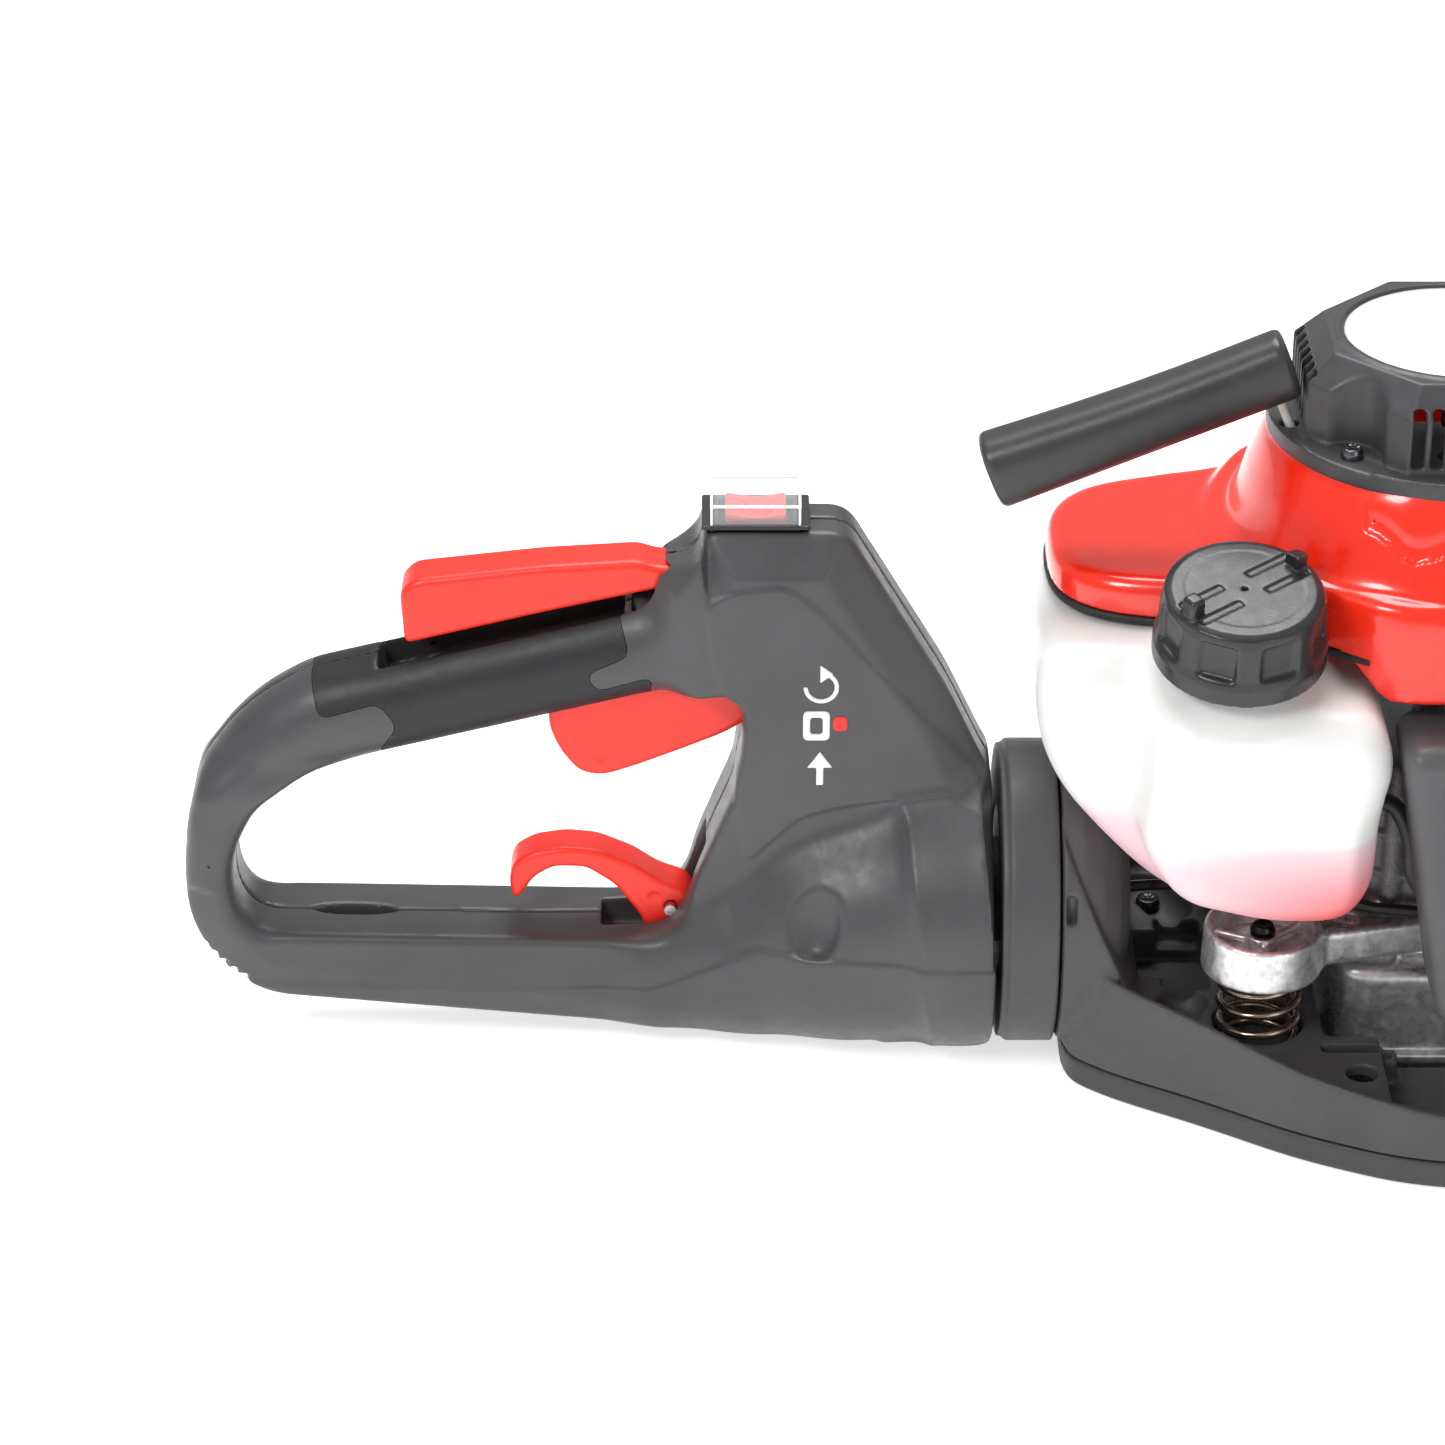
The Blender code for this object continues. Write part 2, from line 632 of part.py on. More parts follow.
def air_filter(black, foam):
    """The filter's base, its foam element and its hollow cover with a slanting rear edge."""
    side = [(-5, 54), (34, 54), (42, 67), (106, 67), (108, 130), (98, 158), (-23, 158)]
    base = outline("air_filter_base", inset(side, 4), -66, -62, black, "XZ")
    cut(base, rod("intake_hole", v(64, -70, 94), v(64, -58, 94), 9 * MM, sides=24))
    element = box("air_filter_element", (14, -80, 72), (92, -66.4, 140), foam)
    cover = finished(round_edges(outline("air_filter_cover", side, -98, -66.4, black, "XZ"), 4, 2, 50))
    cut(cover, outline("filter_room", inset(side, 2.5), -95, -60, None, "XZ"))
    return [base, element, cover]


def fuel_tank(finish):
    """The hollow tank behind the engine, with a lobe on the right that carries the filler neck."""
    side = [
        (-50, 176), (-134, 174), (-138, 165), (-137, 142), (-129, 122),
        (-113, 103), (-98, 88), (-78, 76), (-50, 74),
    ]
    lobe = [(-28, 101), (-30, 166), (-102, 166), (-105, 118), (-91, 97), (-62, 91), (-36, 91)]
    made = finished(round_edges(outline("fuel_tank", side, -58, 48, finish, "XZ"), 7, 2, 50))
    bulge = finished(round_edges(outline("tank_lobe", lobe, -95, -42, None, "XZ"), 10, 2, 50))
    join(made, bulge, rod("filler_neck", CAP_CENTRE - 0.018 * CAP_AXIS, CAP_CENTRE + 0.008 * CAP_AXIS, 20 * MM))
    cut(made, outline("tank_room", inset(side, 3), -55, 45, None, "XZ"))
    cut(made, outline("lobe_room", inset(lobe, 3), -92, -45, None, "XZ"))
    near, far = CAP_CENTRE - 0.028 * CAP_AXIS, CAP_CENTRE + 0.022 * CAP_AXIS
    return cut(made, rod("filler_hole", near, far, 17 * MM, sides=24))


def fuel_cap(finish):
    """The screw cap, a cup with a finger bar across it."""
    place = Matrix.Translation(CAP_CENTRE) @ Matrix.Rotation(CAP_TILT, 4, "X")
    profile = [(0, 23), (23.5, 23), (26, 20.5), (26, 0.6), (22, 0.6), (22, 18), (15, 18), (15, 12), (0, 12)]
    made = turned("fuel_cap", profile, finish, place)
    finger_bar = box("cap_bar", (-22, -3, -3.5), (22, 3, 3.5))
    finger_bar.matrix_world = place @ Matrix.Translation(v(0, 0, 24.5))
    join(made, finger_bar)
    return set_origin(finished(made), CAP_CENTRE)


def fuel_hose(finish):
    """The hose from the tank to the carburettor."""
    route = [v(-27.4, -59, 120), v(-19, -59, 118), v(-13, -58.8, 106), v(-10, -58.8, 90), v(4, -58, 76),
             v(24, -56, 73), v(38, -52, 77), v(46.5, -49, 83)]
    return tube("fuel_hose", smooth(route, 3), 2.4 * MM, finish)


def throttle_cable_front(finish):
    """The cable from the swivel's axis, through the neck and under the tank, to the carburettor."""
    route = [v(-149.8, 0, 52.5), v(-112, 0, 52.5), v(-92, 0, 54), v(-70, -10, 60), v(-46, -24, 67),
             v(-20, -40, 68), v(20, -44, 68), v(42, -44, 69.5), v(52, -44, 74)]
    return tube("throttle_cable_front", smooth(route, 3), 2 * MM, finish)


def shroud_reach(angle):
    """How far the shroud's lower edge lies from the crankshaft, in millimetres, at an angle round it."""
    half_length, half_width = (110, 78) if math.cos(angle) > 0 else (132, 38)
    across, along = half_width * math.cos(angle), half_length * math.sin(angle)
    reach = half_length * half_width / math.hypot(across, along)
    if math.cos(angle) > 0:
        return reach
    turn = min(1, -math.cos(angle) / 0.6)
    shoulder = 78 - 14 * turn * turn * (3 - 2 * turn)
    return max(shoulder, reach)


def engine_shroud(finish):
    """The thin cover over the engine, narrow over the tank and round under the starter."""
    sides = ROUND + 12
    shape = bmesh.new()
    loops = []
    for share, rise in ((1.0, 0), (1.0, 0.5), (0.9, 0.85), (0.5, 1), (0.3, 2), (0, 3)):
        loop = []
        for i in range(sides):
            angle = 2 * math.pi * i / sides
            reach = 57 + (shroud_reach(angle) - 57) * share
            spread = min(1, max(0, (reach * math.cos(angle) + 60) / 50))
            low = 178.5 - 13.5 * spread
            height = low + (195.8 - low) * rise if rise <= 1 else 195.8 + 16 * (rise - 1)
            loop.append(shape.verts.new(v(reach * math.cos(angle), reach * math.sin(angle), height)))
        loops.append(loop)
    for first, second in zip(loops, loops[1:]):
        for i in range(sides):
            j = (i + 1) % sides
            shape.faces.new((first[i], first[j], second[j], second[i]))
    made = new_object("engine_shroud", mesh_from(shape, "engine_shroud"), finish)
    wall = made.modifiers.new("wall", "SOLIDIFY")
    wall.thickness = 2.5 * MM
    wall.offset = -1
    return made


def pull_place():
    """A point on the rope where it enters the starter housing."""
    return v(-55.6, -12, 236)


def starter(finish, steel):
    """The starter housing, hollow, with a post for its reel, and the reel."""
    profile = [
        (0, 262), (38, 262), (46, 260.5), (51, 252), (60, 240), (60, 228.3), (57.5, 228.3), (57.5, 239),
        (48.4, 251), (43.8, 258), (3.7, 258), (3.7, 203), (0, 203),
    ]
    housing = turned("starter_housing", profile, finish)
    near, far = pull_place() - PULL_AXIS * 0.03, pull_place() + PULL_AXIS * 0.01
    cut(housing, rod("rope_hole", near, far, 2.8 * MM, sides=12))
    reel_profile = [
        (4, 217), (28, 217), (28, 215), (22, 215), (22, 207), (28, 207), (28, 205), (4, 205), (4, 217),
    ]
    return housing, turned("starter_reel", reel_profile, steel)


def pull_grip(black, rope_finish):
    """The bar that is pulled to start the engine, and the stretch of rope between it and the reel."""
    low, high = v(-151, -12, 218), v(-57, -12, 256)
    bar = rod("starter_grip", low, high, 12.5 * MM, black, 11 * MM, 20)
    round_edges(bar, 2.5, 2)
    end = pull_place()
    near, far = end + PULL_AXIS * 0.0065, end - PULL_AXIS * 0.012
    rope = rod("starter_rope", near, far, 1.6 * MM, rope_finish, sides=8)
    return set_origin(finished(bar), high), rope


def crank_train(steel):
    """The crankshaft with its webs, pin and clutch rotor, and the flywheel on it."""
    shaft = rod("crankshaft", v(0, 0, 51), v(0, 0, 194), 5 * MM, steel, sides=20)
    join(shaft, rod("rotor", v(0, 0, 51), v(0, 0, 60), 22 * MM, sides=24))
    join(shaft, rod("lower_web", v(0, 0, 73), v(0, 0, 86), 24 * MM, sides=24))
    join(shaft, rod("upper_web", v(0, 0, 100), v(0, 0, 113), 24 * MM, sides=24))
    cut(shaft, rod("web_gap", v(0, 0, 86), v(0, 0, 100), 8 * MM, sides=24))
    join(shaft, rod("crank_pin", v(-13, 0, 80), v(-13, 0, 105), 4.5 * MM, sides=16))
    flywheel = ring("flywheel", 30, 5.3, 150, 160, steel, None, 24)
    join(flywheel, ring("flywheel_rim", 46, 28, 150, 153, None, None, 24))
    for i in range(8):
        blade = box(f"fan_blade_{i}", (27, -1.2, 151), (44, 1.2, 170))
        blade.matrix_world = Matrix.Rotation(math.pi * i / 4, 4, "Z") @ blade.matrix_world
        join(flywheel, blade)
    return [shaft, flywheel]


def toothed(name, radius, depth, teeth, low, high, centre_x, phase, finish):
    """A flat gear outline made thick, with straight-sided teeth."""
    points = []
    for i in range(teeth):
        for part, reach in ((0.0, radius - depth), (0.3, radius - depth), (0.45, radius), (0.8, radius)):
            angle = 2 * math.pi * (i + part) / teeth + phase
            points.append((centre_x + reach * math.cos(angle), reach * math.sin(angle)))
    return outline(name, points, low, high, finish)


def clutch_drum(steel):
    """The clutch drum with the pinion under it."""
    profile = [(24, 63), (26.5, 63), (26.5, 47.3), (4.4, 47.3), (4.4, 24), (0, 24), (0, 49.5), (24, 49.5), (24, 63)]
    made = turned("clutch_drum", profile, steel, None, 24)
    return join(made, toothed("pinion", 6.2, 1.2, 9, 25, 35, 0, 0, None))


def drive_gear(steel):
    """The large gear with its shaft and two eccentrics, set opposite each other."""
    made = toothed("drive_gear", 31.3, 1.5, 44, 25, 33, 38, 0, steel)
    throw = ECCENTRIC_THROW
    x = GEAR_X
    join(made, rod("gear_shaft", (x, 0, 10.2 * MM), (x, 0, 41.2 * MM), 5 * MM, sides=20))
    join(made, rod("upper_eccentric", (x + throw, 0, 16.5 * MM), (x + throw, 0, 18.9 * MM), 9 * MM, sides=24))
    join(made, rod("lower_eccentric", (x - throw, 0, 13.9 * MM), (x - throw, 0, 16.6 * MM), 9 * MM, sides=24))
    join(made, rod("gear_hub", (x, 0, 18.8 * MM), (x, 0, 26 * MM), 9 * MM, sides=24))
    return set_origin(finished(made), Vector((GEAR_X, 0, 0)))


def piston(finish):
    """The piston with its rod, which stops short of the crank pin."""
    made = rod("piston", (0.062, 0, CRANK_Z), (0.084, 0, CRANK_Z), 15.3 * MM, finish)
    return join(made, box("piston_rod", (33, -4.5, 90), (64, 4.5, 96)))


def blade_outline(shift):
    """A toothed blade from above, in millimetres: a yoke round its eccentric, a neck and two rows of teeth."""
    pitch, count, root, tip = 35, 17, 14, 32
    right = [(9.5, -22), (66.5, -22), (72, -12), (92, -12), (96, -root)]
    for i in range(count):
        x = 98 + pitch * i + shift
        right += [(x, -root), (x + 6, -tip), (x + 11, -tip), (x + 17, -root)]
    right += [(98 + pitch * count, -root), (98 + pitch * count + 8, -5)]
    return mirrored(right)


def blade(name, low, shift, finish):
    """One of the two sliding blades, with a slot at each blade bolt."""
    made = outline(name, blade_outline(shift), low, low + 2.2, finish)
    slots = [box(name + "_yoke", (14.2, -16.6, 0), (61.8, 16.6, 40))]
    for i, x in enumerate(BOLTS):
        slots.append(box(f"{name}_slot_{i}", (x - 10.6, -3.5, 0), (x + 10.6, 3.5, 40)))
    for slot in slots:
        apply(made, "DIFFERENCE", slot, "MANIFOLD")
    return made


def blade_bar(finish):
    """The fixed bar over the blades."""
    side = [(74, -13), (690, -13), (704, -6)]
    made = outline("blade_bar", mirrored(side), 19.2, 22.2, finish)
    for i, x in enumerate(BOLTS):
        cut(made, rod(f"bar_hole_{i}", v(x, 0, 0), v(x, 0, 40), 3 * MM, sides=16))
    return made


def blade_bolt(name, x, finish):
    """A bolt that hangs the blades under the bar."""
    profile = [(0, 28), (5, 28), (5.5, 22.5), (2.8, 22.5), (2.8, 13.6), (6, 13.6), (6, 11.4), (0, 11.4)]
    return turned(name, profile, finish, Matrix.Translation(v(x, 0, 0)), 16)


def choke_lever(finish):
    """The choke lever on the front of the filter."""
    made = box("choke_lever", (108.7, -67, 96), (111.7, -61, 121), finish)
    join(made, rod("choke_shaft", v(104.4, -64, 118), v(109, -64, 118), 2.4 * MM, sides=12))
    return set_origin(finished(made), CHOKE_PIVOT)


def primer_bulb(finish):
    """The soft priming bulb on the carburettor's front."""
    profile = [(0, 88.5), (5, 87.5), (8, 84.5), (9, 81), (9, 78.4), (0, 78.4)]
    return turned("primer_bulb", profile, finish, along_x(0, -48, 94), 20)


def ignition_coil(finish):
    """The ignition coil beside the flywheel."""
    return round_edges(box("ignition_coil", (-16, 49, 148), (16, 63, 168), finish), 2, 1)


def main():
    """Clears the scene and builds the machine."""
    for old in list(bpy.data.objects):
        bpy.data.objects.remove(old)
    bpy.context.scene.collection.children.link(parts)
    bpy.context.scene.collection.children.link(cutters)
    cutters.hide_render = True

    grey = material("grey_plastic", (0.062, 0.064, 0.067), 0.5)
    black = material("black_plastic", (0.02, 0.02, 0.021), 0.4)
    soft = material("soft_grip", (0.05, 0.052, 0.055), 0.75)
    red = material("red_plastic", (0.86, 0.035, 0.012), 0.3)
    clear = material("clear_plastic", (0.9, 0.92, 0.93), 0.08, 0, 0.3)
    white = material("white_plastic", (0.8, 0.8, 0.78), 0.4)
    cast = material("cast_aluminium", (0.55, 0.56, 0.57), 0.45, 0.9)
    steel = material("steel", (0.42, 0.41, 0.4), 0.3, 1.0)
    rubber = material("rubber", (0.015, 0.015, 0.015), 0.8)
    foam = material("foam", (0.04, 0.04, 0.045), 0.95)

    handle_shells(grey)
    grip_sleeve(soft)
    swivel_spigot(black)
    for name, pivot in PINS.items():
        cross_pin(name, pivot, 16, 2 * MM, steel)
    throttle_cable_rear(rubber)
    throttle_trigger(red)
    lockout_lever(red)
    swivel_lock_lever(red)
    swivel_lock_pin(steel)
    stop_switch(black, red, clear)

    swivel_collar(black)
    lock_ring(steel)
    base_tray(black)
    base_skirt(black)
    for name, (x, y) in SPRINGS.items():
        vibration_spring(name, x, y, steel)
    front_handle(black)
    hand_guard(black)

    gear_case(cast)
    gear_case_cover(steel)
    crankcase(cast)
    cylinder(cast)
    spark_plug(steel)
    plug_boot(rubber)
    muffler(steel)
    carburettor(cast)
    air_filter(grey, foam)
    ignition_coil(black)
    fuel_tank(white)
    fuel_cap(black)
    fuel_hose(rubber)
    throttle_cable_front(rubber)
    engine_shroud(red)
    starter(black, steel)
    pull_grip(black, white)
    crank_train(steel)
    clutch_drum(steel)
    drive_gear(steel)
    piston(cast)
    blade("lower_blade", 14, 0, steel)
    blade("upper_blade", 16.6, 0, steel)
    blade_bar(steel)
    for i, x in enumerate(BOLTS):
        blade_bolt(f"blade_bolt_{i + 1}", x, steel)
    choke_lever(red)
    primer_bulb(clear)


main()
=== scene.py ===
"""The looks of a petrol hedge trimmer: finishes, fine shapes, studio and camera round its frame."""

import logging
import math
from collections.abc import Callable, Iterable, Sequence
from dataclasses import dataclass, field
from enum import Enum

import bmesh
import bpy
import numpy as np
from mathutils import Matrix, Vector


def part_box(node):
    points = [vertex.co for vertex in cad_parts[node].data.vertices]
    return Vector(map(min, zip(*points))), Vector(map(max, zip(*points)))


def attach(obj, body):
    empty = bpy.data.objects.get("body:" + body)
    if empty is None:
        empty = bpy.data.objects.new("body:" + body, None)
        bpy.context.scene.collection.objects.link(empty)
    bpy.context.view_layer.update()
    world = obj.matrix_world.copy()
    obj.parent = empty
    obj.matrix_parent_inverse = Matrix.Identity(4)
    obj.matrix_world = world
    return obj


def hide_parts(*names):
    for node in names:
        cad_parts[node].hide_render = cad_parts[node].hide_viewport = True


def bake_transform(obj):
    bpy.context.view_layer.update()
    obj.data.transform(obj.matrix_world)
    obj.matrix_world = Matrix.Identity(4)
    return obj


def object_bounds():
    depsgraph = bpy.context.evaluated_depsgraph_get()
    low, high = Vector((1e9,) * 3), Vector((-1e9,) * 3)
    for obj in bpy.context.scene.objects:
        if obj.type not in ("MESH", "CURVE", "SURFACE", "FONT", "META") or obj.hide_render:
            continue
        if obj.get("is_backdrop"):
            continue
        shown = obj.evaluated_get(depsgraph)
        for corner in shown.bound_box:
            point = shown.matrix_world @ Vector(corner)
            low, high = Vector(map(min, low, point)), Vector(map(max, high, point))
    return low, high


MM = 0.001
NOISE_LOW = 0.3
NOISE_HIGH = 0.7
CORNER_SHARE = 0.48
Point = tuple[float, float]
Piece = bpy.types.Object
Material = bpy.types.Material
Socket = bpy.types.NodeSocket
log = logging.getLogger("trimmer")

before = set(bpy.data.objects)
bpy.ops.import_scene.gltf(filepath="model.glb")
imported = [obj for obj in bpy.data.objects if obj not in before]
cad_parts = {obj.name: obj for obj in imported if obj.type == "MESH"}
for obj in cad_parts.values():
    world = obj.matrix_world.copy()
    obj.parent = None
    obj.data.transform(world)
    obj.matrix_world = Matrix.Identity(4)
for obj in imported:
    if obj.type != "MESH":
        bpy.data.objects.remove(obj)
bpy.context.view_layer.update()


class Body(str, Enum):
    """The moving bodies of the machine."""

    BASE = "base_frame"
    HANDLE = "rear_handle"
    ENGINE = "engine"
    TRIGGER = "trigger"
    LOCKOUT = "lockout"
    LOCK_LEVER = "lock_lever"
    SWITCH = "stop_switch"
    CAP = "filler_cap"
    PULL = "pull_starter"


class Plane(Enum):
    """The plane in which an outline is drawn."""

    TOP = "XY"
    SIDE = "XZ"
    FRONT = "YZ"


# ------------------------------------------------------------------ finishes


class NodeBench:
    """A short way to wire a Principled material."""

    def __init__(self, name: str) -> None:
        """Starts a material with its shader and object coordinates.

        Args:
            name: Name of the material.
        """
        self.material = bpy.data.materials.new(name)
        self.material.use_nodes = True
        self.tree = self.material.node_tree
        self.shader = self.tree.nodes["Principled BSDF"]
        self.place = self.tree.nodes.new("ShaderNodeTexCoord").outputs["Object"]

    def add(self, kind: str, settings: dict | None = None, inputs: dict | None = None) -> bpy.types.Node:
        """Adds a node.

        Args:
            kind: The node type's name after "ShaderNode".
            settings: Properties of the node.
            inputs: Socket values or sockets to link, by socket name or number.

        Returns:
            The new node.
        """
        node = self.tree.nodes.new("ShaderNode" + kind)
        for key, value in (settings or {}).items():
            setattr(node, key, value)
        for key, value in (inputs or {}).items():
            if isinstance(value, Socket):
                self.tree.links.new(value, node.inputs[key])
            else:
                node.inputs[key].default_value = value
        return node

    def noise(self, scale: float, detail: float = 3.0, stretch: Sequence[float] | None = None) -> Socket:
        """A noise value over the object's own coordinates.

        Args:
            scale: Repeats to the metre.
            detail: Octaves of the noise.
            stretch: Scale along each axis, for a brushed grain.

        Returns:
            The factor socket.
        """
        source = self.place
        if stretch:
            source = self.add("Mapping",
                              inputs={"Vector": self.place, "Scale": tuple(stretch)}).outputs["Vector"]
        return self.add("TexNoise",
                        inputs={"Vector": source, "Scale": scale, "Detail": detail}).outputs["Fac"]

    def ramp(self, value: Socket, stops: Sequence[tuple[float, Sequence[float]]]) -> Socket:
        """Maps a value to a colour ramp and returns the colour socket.

        Args:
            value: Socket that picks the colour.
            stops: Pairs of place and colour.

        Returns:
            The socket.
        """
        node = self.add("ValToRGB", inputs={"Fac": value})
        elements = node.color_ramp.elements
        while len(elements) < len(stops):
            elements.new(0.5)
        for element, (position, colour) in zip(elements, stops):
            element.position = position
            element.color = (*colour, 1)
        return node.outputs["Color"]

    def spread(self, value: Socket, low: float, high: float) -> Socket:
        """Maps the usual range of a noise to low..high."""
        node = self.add("MapRange",
                        inputs={"Value": value, "From Min": NOISE_LOW, "From Max": NOISE_HIGH,
                                "To Min": low, "To Max": high})
        return node.outputs["Result"]

    def bump(self, heights: Iterable[tuple[Socket, float, float]]) -> None:
        """Stacks bumps of (height, strength, distance in metres) on the shader's normal.

        Args:
            heights: Each bump as (height, strength, distance in metres).
        """
        normal = None
        for height, strength, distance in heights:
            inputs = {"Height": height, "Strength": strength, "Distance": distance}
            if normal:
                inputs["Normal"] = normal
            normal = self.add("Bump", inputs=inputs).outputs["Normal"]
        self.tree.links.new(normal, self.shader.inputs["Normal"])

    def wire(self, socket: str, value: Socket) -> None:
        """Links a value to a socket of the shader."""
        self.tree.links.new(value, self.shader.inputs[socket])


@dataclass(frozen=True)
class Moulded:
    """Injection-moulded plastic: spark-eroded grain and faint flow clouds."""

    name: str
    colour: tuple[float, float, float]
    roughness: float = 0.45
    grain: float = 0.25
    grain_scale: float = 1500.0
    cloud: float = 0.12
    coat: float = 0.0
    specular: float = 0.5

    def build(self) -> Material:
        """Makes the material.

        Returns:
            The material.
        """
        bench = NodeBench(self.name)
        clouds = bench.noise(38.0, 4.0)
        dark = tuple(c * (1 - self.cloud) for c in self.colour)
        light = tuple(min(1.0, c * (1 + self.cloud)) for c in self.colour)
        bench.wire("Base Color", bench.ramp(clouds, ((0.3, dark), (0.7, light))))
        bench.wire("Roughness",
                   bench.spread(bench.noise(210.0, 5.0), self.roughness - 0.05, self.roughness + 0.06))
        bench.shader.inputs["Specular IOR Level"].default_value = self.specular
        bench.shader.inputs["Coat Weight"].default_value = self.coat
        bench.shader.inputs["Coat Roughness"].default_value = 0.08
        fine = bench.noise(self.grain_scale, 2.0)
        slow = bench.noise(55.0, 2.0)
        bench.bump(((fine, self.grain, 0.00012), (slow, 0.08, 0.0008)))
        return bench.material


@dataclass(frozen=True)
class Cast:
    """Die-cast aluminium: mottled grey skin, pits and a soft sheen."""

    name: str
    colour: tuple[float, float, float] = (0.6, 0.6, 0.61)
    roughness: float = 0.42
    pits: float = 0.35
    scale: float = 420.0
    metallic: float = 0.85

    def build(self) -> Material:
        """Makes the material.

        Returns:
            The material.
        """
        bench = NodeBench(self.name)
        mottle = bench.noise(self.scale, 6.0)
        dark = tuple(c * 0.72 for c in self.colour)
        bench.wire("Base Color", bench.ramp(mottle, ((0.32, dark), (0.62, self.colour))))
        bench.wire("Roughness",
                   bench.spread(bench.noise(260.0, 4.0), self.roughness - 0.1, self.roughness + 0.12))
        bench.shader.inputs["Metallic"].default_value = self.metallic
        bench.bump(((bench.noise(self.scale * 2.2, 4.0), self.pits, 0.0003),
                    (bench.noise(70.0, 2.0), 0.12, 0.001)))
        return bench.material


@dataclass(frozen=True)
class Steel:
    """Steel or plated metal with a drawn grain along one axis."""

    name: str
    colour: tuple[float, float, float]
    roughness: float = 0.25
    stretch: tuple[float, float, float] = (0.06, 1.0, 1.0)
    scale: float = 900.0

    def build(self) -> Material:
        """Makes the material.

        Returns:
            The material.
        """
        bench = NodeBench(self.name)
        lines = bench.noise(self.scale, 3.0, self.stretch)
        dark = tuple(c * 0.8 for c in self.colour)
        bench.wire("Base Color", bench.ramp(bench.noise(60.0, 4.0), ((0.3, dark), (0.7, self.colour))))
        bench.wire("Roughness", bench.spread(lines, self.roughness - 0.07, self.roughness + 0.1))
        bench.shader.inputs["Metallic"].default_value = 1.0
        bench.bump(((lines, 0.1, 0.0001),))
        return bench.material


@dataclass(frozen=True)
class Clear:
    """Clear moulded plastic with faint ripples."""

    name: str
    colour: tuple[float, float, float] = (0.95, 0.97, 0.98)
    roughness: float = 0.06
    alpha: float = 0.32

    def build(self) -> Material:
        """Makes the material.

        Returns:
            The material.
        """
        bench = NodeBench(self.name)
        ripple = bench.noise(160.0, 2.0)
        dim = tuple(c * 0.97 for c in self.colour)
        bench.wire("Base Color", bench.ramp(ripple, ((0.3, dim), (0.7, self.colour))))
        bench.shader.inputs["Roughness"].default_value = self.roughness
        bench.shader.inputs["Alpha"].default_value = self.alpha
        bench.bump(((ripple, 0.05, 0.0004),))
        return bench.material


@dataclass(frozen=True)
class FuelTankSkin:
    """Milky blow-moulded plastic, tinted from inside by the fuel below its level."""

    name: str
    level: float
    depth: float

    def build(self) -> Material:
        """Makes the material.

        Returns:
            The material.
        """
        bench = NodeBench(self.name)
        height = bench.add("SeparateXYZ", inputs={"Vector": bench.place}).outputs["Z"]
        along = bench.add("SeparateXYZ", inputs={"Vector": bench.place}).outputs["X"]
        below = bench.add("MapRange", inputs={
            "Value": height, "From Min": self.level, "From Max": self.level - self.depth, "To Min": 0.0,
            "To Max": 1.0})
        towards = bench.add("MapRange", inputs={
            "Value": along, "From Min": -0.085, "From Max": -0.034, "To Min": 0.25, "To Max": 1.0})
        tint = bench.add("Math", {"operation": "MULTIPLY"},
                         {0: below.outputs["Result"], 1: towards.outputs["Result"]})
        stops = ((0.0, (0.82, 0.82, 0.81)), (0.08, (0.8, 0.62, 0.66)), (0.45, (0.8, 0.36, 0.4)),
                 (1.0, (0.82, 0.06, 0.05)))
        bench.wire("Base Color", bench.ramp(tint.outputs["Value"], stops))
        bench.wire("Roughness", bench.spread(bench.noise(120.0, 4.0), 0.3, 0.42))
        bench.shader.inputs["Subsurface Weight"].default_value = 0.35
        bench.shader.inputs["Subsurface Radius"].default_value = (0.012, 0.011, 0.010)
        bench.shader.inputs["Subsurface Scale"].default_value = 1.0
        bench.bump(((bench.noise(900.0, 3.0), 0.12, 0.0001), (bench.noise(40.0, 2.0), 0.1, 0.001)))
        return bench.material


@dataclass(frozen=True)
class Foam:
    """Open-cell foam, with painted shade darkening the middle of each cell."""

    name: str
    colour: tuple[float, float, float]

    def build(self) -> Material:
        """Makes the material.

        Returns:
            The material.
        """
        bench = NodeBench(self.name)
        cells = bench.add("TexVoronoi", inputs={"Vector": bench.place, "Scale": 900.0}).outputs["Distance"]
        # Painted shade: the colour darkens to a third near the middle of each cell, standing in for the
        # shade inside the pores.
        dark = tuple(c * 0.3 for c in self.colour)
        bench.wire("Base Color", bench.ramp(cells, ((0.05, dark), (0.5, self.colour))))
        bench.shader.inputs["Roughness"].default_value = 0.95
        bench.bump(((cells, 0.8, 0.0006),))
        return bench.material


# ------------------------------------------------------------------ shaping tools


def made_of(finish: "Moulded | Cast | Steel | Clear | Foam") -> Material:
    """A field that makes its own material when its piece is built."""
    return field(default_factory=finish.build)


def mm(x: float, y: float, z: float) -> Vector:
    """A point given in millimetres."""
    return Vector((x, y, z)) * MM


def keep_mesh(name: str, shape: bmesh.types.BMesh, smooth_angle: float = 35.0) -> Piece:
    """Turns a bmesh into an object shaded smooth up to an angle in degrees, and frees the bmesh.

    Args:
        name: Name of the piece.
        shape: The bmesh, which is freed.
        smooth_angle: Angle above which edges stay sharp, in degrees.

    Returns:
        The piece.
    """
    bmesh.ops.recalc_face_normals(shape, faces=shape.faces)
    mesh = bpy.data.meshes.new(name)
    shape.to_mesh(mesh)
    shape.free()
    mesh.shade_smooth()
    mesh.set_sharp_from_angle(angle=math.radians(smooth_angle))
    made = bpy.data.objects.new(name, mesh)
    bpy.context.scene.collection.objects.link(made)
    return made


